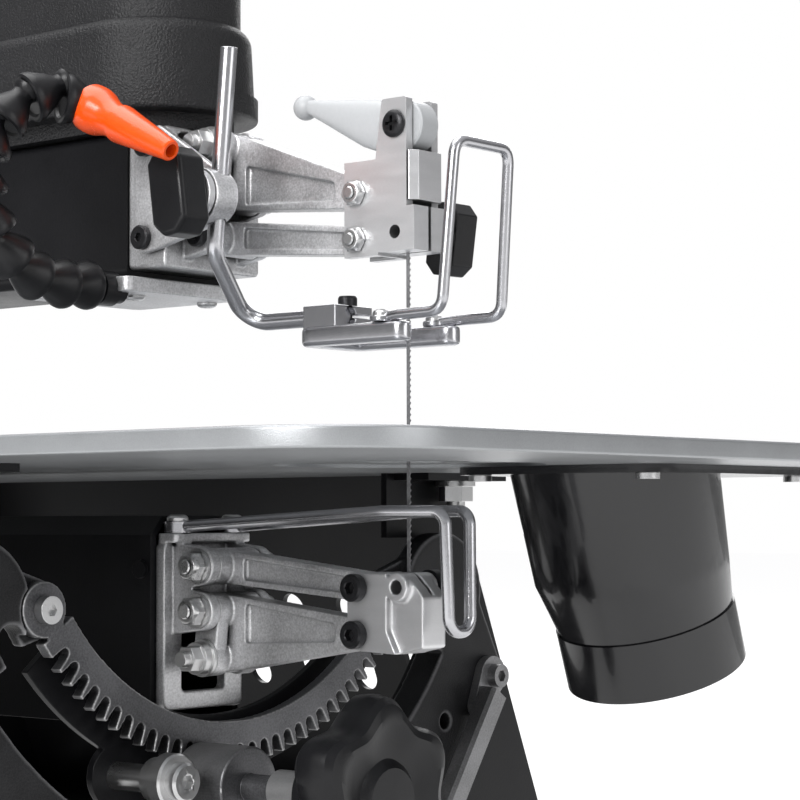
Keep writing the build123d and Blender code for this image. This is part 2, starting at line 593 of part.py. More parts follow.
# ================================================================ upper arm
ARM_FRONT = 118.0
ARM_X = 28.0
ARM_LOW, ARM_HIGH = 67.0, 124.5
with BuildPart() as upper_arm:
    slab(side(-ARM_X), [(ARM_FRONT, ARM_LOW), (THROAT - 5, ARM_LOW), (THROAT - 5, ARM_HIGH),
                        (ARM_FRONT, ARM_HIGH)], 2 * ARM_X)
    fillet(upper_arm.edges().filter_by(Axis.Y), 4)
    slab(side(-ARM_X + 4), [(ARM_FRONT - 1, ARM_LOW + 3), (THROAT, ARM_LOW + 3), (THROAT, ARM_HIGH - 2),
                            (ARM_FRONT - 1, ARM_HIGH - 2)], 2 * ARM_X - 8, Mode.SUBTRACT)
    for x0 in (-19.6, 13.0):
        slab(side(x0), [(THROAT - 60, 102), (THROAT - 5, 102), (ROCKER_Y - 8, 103), (ROCKER_Y + 12, 108),
                        (ROCKER_Y + 12, 126), (ROCKER_Y - 8, 131), (THROAT - 5, 122.6),
                        (THROAT - 60, 122.6)], 6.6)
    for x0 in (-24.2, 13.0):
        block((x0, THROAT - 60, 102), (x0 + 11.2, THROAT - 40, 122.6))
    drum(side(-25), (ROCKER_Y - ROD_SHIFT, UPPER_ROD_Z), 5 + FIT, 50, Mode.SUBTRACT)
save(upper_arm.part, "upper_arm")


TUB_X, TUB_Y, TUB_R, TUB_END = -3.0, 125.0, 37.0, 235.0
TUB_LOW, TUB_SHOULDER, TUB_HIGH = 131.0, 168.0, 187.0
RIM_HEIGHT, RIM_STEP, SKIRT_STEP, CAP_STEP = 9.0, 1.5, 8.0, 5.5
SWITCH_Y, DIAL_X = 188.0, 12.0


def tub_outline(grow):
    """Round-fronted outline of the control housing."""
    with Locations((TUB_X, TUB_Y)):
        Circle(TUB_R + grow)
    with Locations((TUB_X, (TUB_Y + TUB_END) / 2)):
        Rectangle(2 * (TUB_R + grow), TUB_END - TUB_Y)


with BuildPart() as control_housing:
    with BuildSketch(level(TUB_LOW + RIM_HEIGHT)) as outline:
        tub_outline(0)
    extrude(amount=TUB_SHOULDER - TUB_LOW - RIM_HEIGHT, taper=3)
    fillet(control_housing.edges().group_by(Axis.Z)[-1], 7)
    with BuildSketch(level(TUB_LOW)) as rim:
        tub_outline(RIM_STEP)
    extrude(rim.sketch, amount=RIM_HEIGHT)
    fillet(control_housing.edges().group_by(Axis.Z)[0].filter_by(lambda e: e.length > 20), 1.5)
    with BuildSketch(level(ARM_HIGH + 0.1)) as skirt:
        tub_outline(-SKIRT_STEP)
    extrude(skirt.sketch, amount=TUB_LOW - ARM_HIGH)
    with BuildSketch(level(TUB_SHOULDER - 2)) as cap:
        tub_outline(-CAP_STEP)
    extrude(cap.sketch, amount=TUB_HIGH - TUB_SHOULDER + 2)
    fillet(control_housing.edges().group_by(Axis.Z)[-1], 3)
    drum(level(TUB_HIGH - 6), (TUB_X, TUB_Y), 9, 8, Mode.SUBTRACT)
    drum(level(TUB_HIGH - 10), (DIAL_X, 185), 4 + FIT, 12, Mode.SUBTRACT)
    block((-26, SWITCH_Y - 13.5, TUB_HIGH - 12), (-10, SWITCH_Y + 13.5, TUB_HIGH + 2), Mode.SUBTRACT)
save(control_housing.part, "control_housing")

with BuildPart() as upper_arm_cover:
    slab(side(-ARM_X), [(TUB_END + 0.5, ARM_HIGH + 0.2), (THROAT - 5, ARM_HIGH + 0.2), (THROAT - 5, 138),
                        (THROAT - 30, 148), (TUB_END + 0.5, 148)], 2 * ARM_X)
    fillet(upper_arm_cover.edges().filter_by(Axis.Y).group_by(Axis.Z)[-1], 7)
    slab(side(-ARM_X + 3), [(TUB_END + 4, ARM_HIGH), (THROAT - 8, ARM_HIGH), (THROAT - 8, 136),
                            (THROAT - 31, 145), (TUB_END + 4, 145)], 2 * ARM_X - 6, Mode.SUBTRACT)
save(upper_arm_cover.part, "upper_arm_cover")

with BuildPart() as upper_bracket:
    slab(front(ARM_FRONT - 0.1), [(-27, 70), (25, 70), (25, 124.6), (-27, 124.6)],
         ARM_FRONT - 0.1 - 98, corner=2)
    slab(front(ARM_FRONT + 1), [(-20, 77), (18, 77), (18, 122.6), (-20, 122.6)], 30,
         Mode.SUBTRACT, corner=2)
    pivot_ears(101, UPPER_FIXED, 7)
    block((-20.5, 98, 77), (-12.3, ARM_FRONT - 0.1, 107))
    block((12.3, 98, 77), (18.5, ARM_FRONT - 0.1, 107))
    for z in UPPER_FIXED:
        drum(side(-22), (REAR_Y, z), PIN + 0.01, 44, Mode.SUBTRACT)
save(upper_bracket.part, "upper_bracket")


# Hold-down bracket on the arm's left side, its rod clamp and its knob.
BRACKET_SCREWS = ((106.5, 81.5), (105, 117))
ROD_LEAN = 5.5
ROD_R = 3.2
ROD_X, ROD_TOP_Z, ROD_LOW_Z = -33.0, 148.0, 72.0
ROD_TOP_Y = 58.5
CLAMP_Y, CLAMP_Z = 66.5, 93.0
rod_down = (0, sin(radians(ROD_LEAN)), -cos(radians(ROD_LEAN)))
ROD_LOW_Y = ROD_TOP_Y + (ROD_TOP_Z - ROD_LOW_Z) * tan(radians(ROD_LEAN))
with BuildPart() as hold_down_bracket:
    slab(side(-30.5), [(111.5, 124), (111.5, 80), (107, 75.5), (100, 76.5), (CLAMP_Y + 3, CLAMP_Z - 9.5),
                       (CLAMP_Y, CLAMP_Z + 10.5), (98, 124)], 3.4, corner=2)
    drum(side(-41), (CLAMP_Y, CLAMP_Z), 10.3, 11)
    with BuildSketch(Plane(origin=at(ROD_X, ROD_TOP_Y, ROD_TOP_Z), z_dir=rod_down)) as rod_hole:
        Circle(ROD_R + FIT)
    extrude(rod_hole.sketch, amount=90, mode=Mode.SUBTRACT)
    drum(side(-42), (CLAMP_Y, CLAMP_Z), 3 + FIT, 5.5, Mode.SUBTRACT)
    for y, z in BRACKET_SCREWS:
        drum(side(-32), (y, z), 2.3, 8, Mode.SUBTRACT)
save(hold_down_bracket.part, "hold_down_bracket")

with BuildPart() as arm_fasteners:
    for x_sign in (-1, 1):
        drum(side(13 * x_sign), (ROCKER_Y - ROD_SHIFT, UPPER_ROD_Z), 5, (CHEEK_OUT - 13) * x_sign)
        drum(side(CHEEK_OUT * x_sign), (ROCKER_Y - ROD_SHIFT, UPPER_ROD_Z), 9, 5 * x_sign)
    for z in UPPER_FIXED:
        drum(side(-20), (REAR_Y, z), PIN, 37)
        drum(side(-20), (REAR_Y, z), 4.6, 2.9)
        drum(side(-20), (REAR_Y, z), 1.6, 1.5, Mode.SUBTRACT)
        drum(side(17.1), (REAR_Y, z), 5.2, 5)
    for y, z in BRACKET_SCREWS:
        drum(side(-33.2), (y, z), 4.6, 2.6)
        drum(side(-31), (y, z), 2.2, 3.8)
    for x in (-20, 20):
        drum(level(59), (x, 122), 4, 1.9)
save(arm_fasteners.part, "arm_fasteners")

with BuildPart() as hold_down_washer:
    drum(side(-44.5), (CLAMP_Y, CLAMP_Z), 9.6, 3.2)
    drum(side(-44), (CLAMP_Y, CLAMP_Z), 3, 7.5)
save(hold_down_washer.part, "hold_down_washer")

with BuildPart() as hold_down_grip:
    with BuildSketch(side(-58)) as wing:
        with Locations((CLAMP_Y, CLAMP_Z)):
            Rectangle(17, 33, rotation=-8)
        chamfer(wing.vertices(), 5)
    extrude(amount=13.4)
    fillet(hold_down_grip.edges().group_by(Axis.X)[0], 2)
save(hold_down_grip.part, "hold_down_grip")

# Blower: mount plate under the arm, fitting and segmented hose, and its nozzle.
with BuildPart() as blower_plate:
    block((-37, 108, 61), (24, 166, 66.8), corner=3)
save(blower_plate.part, "blower_plate")

HOSE = [(-47, 120, 63), (-66, 119, 62), (-92, 117, 74), (-104, 116, 98), (-98, 115, 120),
        (-82, 109, 130), (-70, 102.5, 128.5)]
with BuildPart() as blower_hose:
    points = [Vector(*at(*p)) for p in HOSE]
    for a, b in zip(points, points[1:]):
        gap = b - a
        beads = max(1, round(gap.length / 15))
        for n in range(beads):
            start = a + gap * (n / beads)
            step = gap.length / beads
            with BuildSketch(Plane(origin=start, z_dir=gap)) as bead:
                Circle(6.5)
            extrude(bead.sketch, amount=step + 2.5, taper=-7)
    drum(side(-52), (120, 63), 7.5, 12)
save(blower_hose.part, "blower_hose")

NOZZLE_BASE, NOZZLE_TIP = Vector(*at(-66, 97.4, 125.7)), Vector(*at(-66, 55, 105))
with BuildPart() as blower_nozzle:
    line = NOZZLE_TIP - NOZZLE_BASE
    unit = line.normalized()
    with BuildSketch(Plane(origin=NOZZLE_BASE + unit * 4.5, z_dir=unit)) as wide:
        Circle(9.2)
    with BuildSketch(Plane(origin=NOZZLE_BASE + unit * 20, z_dir=unit)) as waist:
        Circle(6.6)
    with BuildSketch(Plane(origin=NOZZLE_TIP, z_dir=unit)) as tip:
        Circle(3.4)
    loft([wide.sketch, waist.sketch, tip.sketch], ruled=True)
    with BuildSketch(Plane(origin=NOZZLE_BASE + unit * 30, z_dir=unit)) as bore:
        Circle(2)
    extrude(bore.sketch, amount=30, mode=Mode.SUBTRACT)
save(blower_nozzle.part, "blower_nozzle")

# ================================================================ controls
with BuildPart() as tension_lever:
    drum(level(TUB_HIGH - 5.5), (TUB_X, TUB_Y), 8.7, 12)
    block((TUB_X - 7, TUB_Y - 34, TUB_HIGH + GAP), (TUB_X + 7, TUB_Y + 8, TUB_HIGH + 12), corner=5)
    fillet(tension_lever.edges().group_by(Axis.Z)[-1], 2)
save(tension_lever.part, "tension_lever")

with BuildPart() as speed_dial:
    drum(level(TUB_HIGH + GAP), (DIAL_X, 185), 12, 11)
    fillet(speed_dial.edges().group_by(Axis.Z)[-1], 1.5)
    drum(level(TUB_HIGH - 8), (DIAL_X, 185), 4, 9)
    block((DIAL_X - 0.8, 173.5, TUB_HIGH + 9), (DIAL_X + 0.8, 179, TUB_HIGH + 13), Mode.SUBTRACT)
save(speed_dial.part, "speed_dial")

with BuildPart() as power_switch:
    slab(side(-24.6), [(SWITCH_Y - 10.8, TUB_HIGH - 6), (SWITCH_Y + 10.8, TUB_HIGH - 6),
                       (SWITCH_Y + 10.8, TUB_HIGH + 1), (SWITCH_Y, TUB_HIGH - 1),
                       (SWITCH_Y - 10.8, TUB_HIGH + 4)], 13.2)
save(power_switch.part, "power_switch")

# ================================================================ hold-down rod and foot
FOOT_AXIS_X, FOOT_AXIS_Z = -4.0, 48.5
FOOT_SCREW_X = 4.2
with BuildPart() as hold_down_rod:
    wire([(ROD_X, ROD_TOP_Y, ROD_TOP_Z), (ROD_X, ROD_LOW_Y, ROD_LOW_Z), (FOOT_AXIS_X, 77, FOOT_AXIS_Z),
          (FOOT_AXIS_X, 27, FOOT_AXIS_Z)], 9, ROD_R)
save(hold_down_rod.part, "hold_down_rod")

with BuildPart() as presser_foot:
    block((-12.5, 24.5, 43), (8.5, 40.4, 52.3), corner=0.8)
    with BuildSketch(level(37)) as fork:
        with Locations((0, 16.5)):
            RectangleRounded(36, 48, 8)
        with Locations((-18, -7.5), (18, -7.5)):
            Rectangle(7, 9, align=(Align.CENTER, Align.MIN))
        Rectangle(36, 60, mode=Mode.INTERSECT)
        with Locations((-0.5, -2)):
            RectangleRounded(23.5, 46, 5, mode=Mode.SUBTRACT)
    extrude(fork.sketch, amount=7)
    drum(front(60), (FOOT_AXIS_X, FOOT_AXIS_Z), ROD_R + FIT, 40, Mode.SUBTRACT)
    block((FOOT_AXIS_X, 24, 48), (9, 41, 48.9), Mode.SUBTRACT)
    drum(level(40), (FOOT_SCREW_X, 33), 1.9, 20, Mode.SUBTRACT)
save(presser_foot.part, "presser_foot")

with BuildPart() as foot_screws:
    drum(level(52.35), (FOOT_SCREW_X, 33), 3.6, 4.4)
    drum(level(45), (FOOT_SCREW_X, 33), 1.8, 7.4)
    for x in (-15, 15):
        drum(level(48.25), (x, 0), 3.4, 1.9)
        drum(level(44.6), (x, 0), 1.8, 3.8)
save(foot_screws.part, "foot_screws")

FOOT_WIRE = 2.0
with BuildPart() as foot_guard_wire:
    wire([(-15, 0, 46.3), (-17, -29, 46.3), (-15.5, -34, 106), (15.5, -34, 106), (17, -29, 46.3),
          (15, 0, 46.3)], 6, FOOT_WIRE)
    for x in (-15, 15):
        drum(level(44.2), (x, 0), 4.4, 3.9)
        drum(level(44), (x, 0), 1.9, 6, Mode.SUBTRACT)
save(foot_guard_wire.part, "foot_guard_wire")


# ================================================================ links
def link_body(front_pin, rear_pin, front_r, rear_r, mode=Mode.ADD):
    """I-section link between its two eyes."""
    (y0, z0), (y1, z1) = front_pin, rear_pin
    strap(side(-5), (y0, z0), front_r, (y1, z1), rear_r, 10, mode)


def link_recess(points):
    """Sunk panel on both faces of a link."""
    slab(side(-6), points, 3.2, Mode.SUBTRACT, corner=1.2)
    slab(side(2.8), points, 3.2, Mode.SUBTRACT, corner=1.2)


def link_bores(front_pin, rear_pin):
    drum(side(-20), front_pin, PIN + FIT, 40, Mode.SUBTRACT)
    drum(side(-20), rear_pin, PIN + FIT, 40, Mode.SUBTRACT)


def simple_link(label, front_z):
    front_pin, rear_pin = (LINK_Y, front_z), (REAR_Y, front_z + LINK_DROP)
    with BuildPart() as link:
        link_body(front_pin, rear_pin, 5.2, 6.4)
        drum(side(-12), rear_pin, 7, 24)
        rise = LINK_DROP / (REAR_Y - LINK_Y)
        near, far = LINK_Y + 9, REAR_Y - 12
        link_recess([(near, front_z + rise * 9 - 3), (far, front_z + rise * (far - LINK_Y) - 4),
                     (far, front_z + rise * (far - LINK_Y) + 4), (near, front_z + rise * 9 + 3)])
        link_bores(front_pin, rear_pin)
    save(link.part, label)


def bell_crank(label, front_z, sign):
    """Link with a push-rod fork beyond its fixed pivot; sign is the fork's direction."""
    front_pin, rear_pin = (LINK_Y, front_z), (REAR_Y, front_z + LINK_DROP)
    rod_pin = (REAR_Y - sign * ROD_SHIFT, rear_pin[1] + sign * ROD_RISE)
    with BuildPart() as crank:
        with BuildSketch(side(-5)) as web:
            with Locations(front_pin):
                Circle(5.2)
            with Locations(rear_pin):
                Circle(6.4)
            with Locations(rod_pin):
                Circle(6.4)
            make_hull()
        extrude(web.sketch, amount=10)
        drum(side(-12), rear_pin, 7, 24)
        drum(side(-12), rod_pin, 7, 24)
        drum(side(-4.8), rod_pin, 11, 9.6, Mode.SUBTRACT)
        strap(side(-12), rear_pin, 6, rod_pin, 6, 6)
        strap(side(6), rear_pin, 6, rod_pin, 6, 6)
        spine = LINK_DROP / (REAR_Y - LINK_Y)
        near, far = LINK_Y + 14, REAR_Y - 13
        near_z = front_z + spine * 14
        far_z = front_z + spine * (far - LINK_Y)
        link_recess([(near, near_z - 2.6 * (sign < 0) - 2), (far, far_z - (11 if sign < 0 else 4)),
                     (far, far_z + (11 if sign > 0 else 4)), (near, near_z + 2.6 * (sign > 0) + 2)])
        link_bores(front_pin, rear_pin)
        drum(side(-20), rod_pin, PIN + 0.01, 40, Mode.SUBTRACT)
    save(crank.part, label)
    return rod_pin


upper_rod_pin = bell_crank("upper_bellcrank", UPPER_PINS[0], 1)
simple_link("upper_link", UPPER_PINS[1])
simple_link("lower_link", LOWER_PINS[0])
lower_rod_pin = bell_crank("lower_bellcrank", LOWER_PINS[1], -1)


def rod_bolt(label, centre):
    """Push-rod bolt through the bell-crank's fork, with its nut on the left."""
    with BuildPart() as bolt:
        drum(side(-25), centre, PIN, 37.2)
        drum(side(-13.6), centre, 7.2, 1.5)
        drum(side(-17), centre, 6.2, 3.4)
        hexagon(side(-22), centre, 9, 5)
        drum(side(12.1), centre, 5.2, 4.2)
    save(bolt.part, label)


rod_bolt("upper_rod_bolt", upper_rod_pin)
rod_bolt("lower_rod_bolt", lower_rod_pin)


def push_rod(label, front_pin, rear_pin):
    """Drive rod from a bell-crank back to the rear rocker."""
    with BuildPart() as rod:
        drum(side(-4.4), front_pin, 6.2, 8.8)
        drum(side(-4), rear_pin, 9, 8)
        drum(front(rear_pin[0] - 6), (0, front_pin[1]), 4, rear_pin[0] - 6 - front_pin[0] - 4)
        drum(side(-6), front_pin, PIN + FIT, 12, Mode.SUBTRACT)
        drum(side(-6), rear_pin, 4 + 0.6, 12, Mode.SUBTRACT)
    save(rod.part, label)


UPPER_ROCKER_PIN = (ROCKER_Y - ROD_SHIFT, UPPER_ROD_Z)
LOWER_ROCKER_PIN = (ROCKER_Y + ROD_SHIFT, LOWER_ROD_Z)
push_rod("upper_push_rod", upper_rod_pin, UPPER_ROCKER_PIN)
push_rod("lower_push_rod", lower_rod_pin, LOWER_ROCKER_PIN)

with BuildPart() as rear_rocker:
    for x0 in (-9.5, 4.5):
        strap(side(x0), (ROCKER_Y, ROCKER_Z), 13, UPPER_ROCKER_PIN, 8, 5)
        strap(side(x0), (ROCKER_Y, ROCKER_Z), 13, LOWER_ROCKER_PIN, 8, 5)
    drum(side(-9.5), (ROCKER_Y, ROCKER_Z), 13, 19)
    drum(side(-12), (ROCKER_Y, ROCKER_Z), 5 + FIT, 24, Mode.SUBTRACT)
    drum(side(-9.5), UPPER_ROCKER_PIN, 4, 19)
    drum(side(-9.5), LOWER_ROCKER_PIN, 4, 19)
    drum(side(9.5), LOWER_ROCKER_PIN, 3, 4.8)
save(rear_rocker.part, "rear_rocker")

# Con-rod from the rocker's lower end to the motor's eccentric.
CON_ROD_X, CON_ROD_THICK = 10.0, 4.0
CRANK_PIN = (MOTOR_Y + ROD_SHIFT, MOTOR_Z + sqrt(CRANK_ARM**2 - ROD_SHIFT**2))
with BuildPart() as con_rod:
    strap(side(CON_ROD_X), LOWER_ROCKER_PIN, 7, CRANK_PIN, 8, CON_ROD_THICK)
    drum(side(CON_ROD_X - 1), LOWER_ROCKER_PIN, 3 + FIT, 8, Mode.SUBTRACT)
    drum(side(CON_ROD_X - 1), CRANK_PIN, 4.6, 8, Mode.SUBTRACT)
save(con_rod.part, "con_rod")

# The crank's pin stops just short of the con-rod's eye.
with BuildPart() as motor_crank:
    drum(side(17), (MOTOR_Y, MOTOR_Z), 12, 3.5)
    drum(side(20), (MOTOR_Y, MOTOR_Z), 6, 25)
    drum(side(CON_ROD_X + CON_ROD_THICK + 0.5), CRANK_PIN, 4, 3)
save(motor_crank.part, "motor_crank")

# ================================================================ blade holders
HOLDER_X = 9.0
with BuildPart() as upper_holder:
    block((-HOLDER_X, 7, 69), (HOLDER_X, 23, 104))
    block((-HOLDER_X, -10, 70), (HOLDER_X, 7.5, 86))
    for x0 in (-HOLDER_X, HOLDER_X - 3.6):
        slab(side(x0), [(-6.5, 85.5), (8, 85.5), (8, 104), (5, 125.5), (-6.5, 125.5)], 3.6, corner=1)
    block((-5.3, 8.5, 60), (5.3, 24, 110), Mode.SUBTRACT)
    block((-0.85, -11, 60), (0.85, 4.5, 87), Mode.SUBTRACT)
    block((-HOLDER_X + 3.6, -11, 86.2), (HOLDER_X - 3.6, 6.4, 130), Mode.SUBTRACT)
    for z in UPPER_PINS:
        drum(side(-12), (LINK_Y, z), PIN + 0.01, 24, Mode.SUBTRACT)
    drum(side(-12), (-1, 116), 3 + 0.01, 24, Mode.SUBTRACT)
    drum(side(0), (-1, 77), 3 + FIT, 12, Mode.SUBTRACT)
    drum(side(-12), (-1, 77), 2.5, 12, Mode.SUBTRACT)
save(upper_holder.part, "upper_holder")

with BuildPart() as upper_holder_pins:
    for z in UPPER_PINS:
        drum(side(-13.5), (LINK_Y, z), PIN, 22.4)
        hexagon(side(-13.1), (LINK_Y, z), 8.6, 4)
        drum(side(9.05), (LINK_Y, z), 4.4, 3.5)
    drum(side(-10.6), (-1, 116), 3, 19.4)
    drum(side(-11), (-1, 116), 5, 1.9)
save(upper_holder_pins.part, "upper_holder_pins")

with BuildPart() as cam_lever:
    drum(side(-5), (-1, 116), 9.5, 10)
    slab(side(-5), [(2, 124.8), (14, 128), (49, 131.5), (49, 127), (14, 107), (7, 109.5)], 10)
    slab(side(-5.6), [(10, 112.5), (16, 112), (34, 122.5), (34, 126.2), (14, 124.5)], 2.4, Mode.SUBTRACT)
    slab(side(3.2), [(10, 112.5), (16, 112), (34, 122.5), (34, 126.2), (14, 124.5)], 2.4, Mode.SUBTRACT)
    with Locations(at(0, 50, 129)):
        Sphere(4.8)
    drum(side(-6), (-1, 116), 3 + FIT, 12, Mode.SUBTRACT)
save(cam_lever.part, "cam_lever")

with BuildPart() as tension_block:
    block((-5.1, -8, 88), (5.1, 6, 106))
    slab(level(88), [(-HOLDER_X, -7.2), (-HOLDER_X, -7.7), (-6.4, -10.2), (6.4, -10.2), (HOLDER_X, -7.7),
                     (HOLDER_X, -7.2)], 18)
    drum(level(80), (0, 2), 1.4, 30, Mode.SUBTRACT)
save(tension_block.part, "tension_block")

CLAMP_KNOB_Y, CLAMP_KNOB_Z = -1.0, 77.0
with BuildPart() as upper_clamp_knob:
    drum(side(0.6), (CLAMP_KNOB_Y, CLAMP_KNOB_Z), 3, 20)
    with BuildSketch(side(18)) as wing:
        with Locations((CLAMP_KNOB_Y, CLAMP_KNOB_Z)):
            Rectangle(13, 27, rotation=8)
        chamfer(wing.vertices(), 4)
    extrude(wing.sketch, amount=12.5)
    fillet(upper_clamp_knob.edges().group_by(Axis.X)[-1], 1.5)
    drum(side(12), (CLAMP_KNOB_Y, CLAMP_KNOB_Z), 6, 6.1)
save(upper_clamp_knob.part, "upper_clamp_knob")

with BuildPart() as lower_holder:
    slab(side(-HOLDER_X), [(22, -73.5), (22, -45.5), (-3, -45.5), (-9, -51), (-11.5, -54), (-11.5, -72),
                           (-1, -74.4)], 2 * HOLDER_X, corner=1)
    for x0 in (-HOLDER_X, HOLDER_X - 2.6):
        slab(side(x0), [(3.4, -40), (3.4, -66), (-4, -80), (-14, -80), (-14, -40)], 2.6, Mode.SUBTRACT)
    drum(side(-HOLDER_X), (-1, -50.5), 5.2, 2 * HOLDER_X)
    block((-5.3, 7.5, -80), (5.3, 24, -40), Mode.SUBTRACT)
    block((-0.85, -14, -53.4), (0.85, 3.5, -40), Mode.SUBTRACT)
    for z in LOWER_PINS:
        drum(side(-12), (LINK_Y, z), PIN + 0.01, 24, Mode.SUBTRACT)
    drum(side(0), (-1, -50.5), 2.5 + FIT, 12, Mode.SUBTRACT)
    drum(side(-12), (-1, -50.5), 2.5, 12, Mode.SUBTRACT)
save(lower_holder.part, "lower_holder")

with BuildPart() as lower_holder_pins:
    for z in LOWER_PINS:
        drum(side(-9.1), (LINK_Y, z), PIN, 21)
        drum(side(-13.1), (LINK_Y, z), 5, 4.05)
        drum(side(-13.1), (LINK_Y, z), 2, 2, Mode.SUBTRACT)
        hexagon(side(9.05), (LINK_Y, z), 8.6, 4)
    drum(side(0.6), (-1, -50.5), 2.5, 11)
    drum(side(9.5), (-1, -50.5), 6, 6)
save(lower_holder_pins.part, "lower_holder_pins")


with BuildPart() as blade:
    block((-BLADE_THICK / 2, -BLADE_WIDTH / 2, BLADE_BOTTOM), (BLADE_THICK / 2, BLADE_WIDTH / 2, BLADE_TIP))
    with BuildSketch(side(-1)) as tooth_cuts:
        for n in range(20):
            z = -42 + n * 5.2
            with Locations((-BLADE_WIDTH / 2, z)):
                Polygon((-1, -0.4), (0.9, 0), (-1, 1.8), align=None)
    extrude(tooth_cuts.sketch, amount=2, mode=Mode.SUBTRACT)
save(blade.part, "blade")
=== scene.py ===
"""Looks for the tilting-head scroll saw: camera, studio, materials and finished pieces.

Places and sizes of the pieces are in millimetres from the point where the blade crosses the
table top (X right, Y to the rear, Z up); at() turns them into the frame's metres. The camera,
the lights and the shader nodes are given in metres.
"""
import json
from math import copysign, cos, pi, radians, sin

import bmesh
import bpy
from mathutils import Matrix, Vector


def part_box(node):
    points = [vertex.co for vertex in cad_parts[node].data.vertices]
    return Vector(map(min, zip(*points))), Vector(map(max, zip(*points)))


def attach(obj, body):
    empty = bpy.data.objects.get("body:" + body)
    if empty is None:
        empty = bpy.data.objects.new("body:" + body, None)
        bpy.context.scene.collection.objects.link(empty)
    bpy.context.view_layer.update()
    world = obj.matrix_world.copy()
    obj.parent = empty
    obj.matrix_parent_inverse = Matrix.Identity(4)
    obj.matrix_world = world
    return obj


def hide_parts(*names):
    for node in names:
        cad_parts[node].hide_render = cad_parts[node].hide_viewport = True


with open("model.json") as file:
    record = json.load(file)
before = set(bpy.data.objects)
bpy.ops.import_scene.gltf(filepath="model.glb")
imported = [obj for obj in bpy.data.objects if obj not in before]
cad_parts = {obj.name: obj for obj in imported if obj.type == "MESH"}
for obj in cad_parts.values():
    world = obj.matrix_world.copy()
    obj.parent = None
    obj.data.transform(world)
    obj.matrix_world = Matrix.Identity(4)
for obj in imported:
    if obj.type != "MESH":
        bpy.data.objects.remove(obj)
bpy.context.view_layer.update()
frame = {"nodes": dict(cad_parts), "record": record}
nodes = frame["nodes"]
body_of_node = {n: b for b, ns in frame["record"]["behaviour"]["bodies"].items() for n in ns}

BLADE_Y, TABLE_TOP = -300.0, 175.0
LEFT, RIGHT, UP, DOWN, FRONT = (-1, 0, 0), (1, 0, 0), (0, 0, 1), (0, 0, -1), (0, -1, 0)


def at(x, y, z):
    """Millimetres from the blade at the table top to metres in the frame."""
    return Vector((x, y + BLADE_Y, z + TABLE_TOP)) / 1000


# ---------------------------------------------------------------- camera and studio
CAMERA_PLACE = Vector((-0.63183, -0.82241, 0.14851))
CAMERA_AZIMUTH, CAMERA_RISE, CAMERA_ROLL = -50.19, 3.02, -0.15
LENS_MM, SENSOR_MM = 102.35, 36.0

LIGHT_AIM = at(0, 100, 20)
# Place, side of the square and power in watts.
LIGHTS = {"key": ((-1.9, -0.5, 1.0), 1.0, 46),
          "top": ((-0.2, 0.1, 1.9), 1.6, 26),
          "front_fill": ((0.2, -2.2, 0.7), 1.0, 8),
          "rim": ((1.7, 0.9, 1.3), 1.0, 14)}
# What reflections see of the room: height of the ray's direction, and colour.
ROOM_SHADES = ((0.0, (0.30, 0.30, 0.30)), (0.25, (0.16, 0.16, 0.165)), (0.9, (0.75, 0.75, 0.77)))
FLOOR_HALF_SIZE = 8


def add_camera():
    """Camera at the photograph's viewing angle."""
    camera = bpy.data.objects.new("camera", bpy.data.cameras.new("camera"))
    camera.data.lens = LENS_MM
    camera.data.sensor_width = SENSOR_MM
    camera.data.clip_start = 0.05
    camera.location = CAMERA_PLACE
    turn = Matrix.Rotation(radians(CAMERA_AZIMUTH), 4, "Z")
    tilt = Matrix.Rotation(radians(90 + CAMERA_RISE), 4, "X")
    roll = Matrix.Rotation(radians(CAMERA_ROLL), 4, "Z")
    camera.rotation_euler = (turn @ tilt @ roll).to_euler()
    bpy.context.collection.objects.link(camera)
    bpy.context.scene.camera = camera


def add_node(tree, kind, inputs, **settings):
    """New shader node. inputs pairs a socket's name or number with a value or with the output
    that feeds it."""
    node = tree.nodes.new(kind)
    for key, value in settings.items():
        setattr(node, key, value)
    for socket, value in inputs.items():
        if isinstance(value, bpy.types.NodeSocket):
            tree.links.new(value, node.inputs[socket])
        else:
            node.inputs[socket].default_value = value
    return node


def add_ramp(tree, factor, *stops):
    """Colour ramp's output; each stop is a position and a colour."""
    ramp = add_node(tree, "ShaderNodeValToRGB", {"Fac": factor})
    elements = ramp.color_ramp.elements
    for element, (position, color) in zip(elements, (stops[0], stops[-1])):
        element.position = position
        element.color = (*color, 1)
    for position, color in stops[1:-1]:
        elements.new(position).color = (*color, 1)
    return ramp.outputs["Color"]


def add_world():
    """White behind the object, and a dim graded room in its reflections."""
    world = bpy.data.worlds.new("studio")
    world.use_nodes = True
    tree = world.node_tree
    backdrop = tree.nodes["Background"]
    backdrop.inputs["Color"].default_value = (1.0, 1.0, 1.0, 1)
    ray = add_node(tree, "ShaderNodeTexCoord", {}).outputs["Generated"]
    height = add_node(tree, "ShaderNodeSeparateXYZ", {0: ray}).outputs["Z"]
    shade = add_ramp(tree, height, *ROOM_SHADES)
    room = add_node(tree, "ShaderNodeBackground", {"Color": shade, "Strength": 1.0})
    seen = add_node(tree, "ShaderNodeLightPath", {}).outputs["Is Camera Ray"]
    choose = add_node(tree, "ShaderNodeMixShader", {0: seen, 1: room.outputs[0], 2: backdrop.outputs[0]})
    tree.links.new(choose.outputs[0], tree.nodes["World Output"].inputs["Surface"])
    bpy.context.scene.world = world


def add_lights():
    """Square soft lights, aimed at the head."""
    for name, (place, size, power) in LIGHTS.items():
        data = bpy.data.lights.new(name, "AREA")
        data.size = size
        data.energy = power
        light = bpy.data.objects.new(name, data)
        light.location = place
        light.rotation_euler = (LIGHT_AIM - Vector(place)).to_track_quat("-Z", "Y").to_euler()
        bpy.context.collection.objects.link(light)


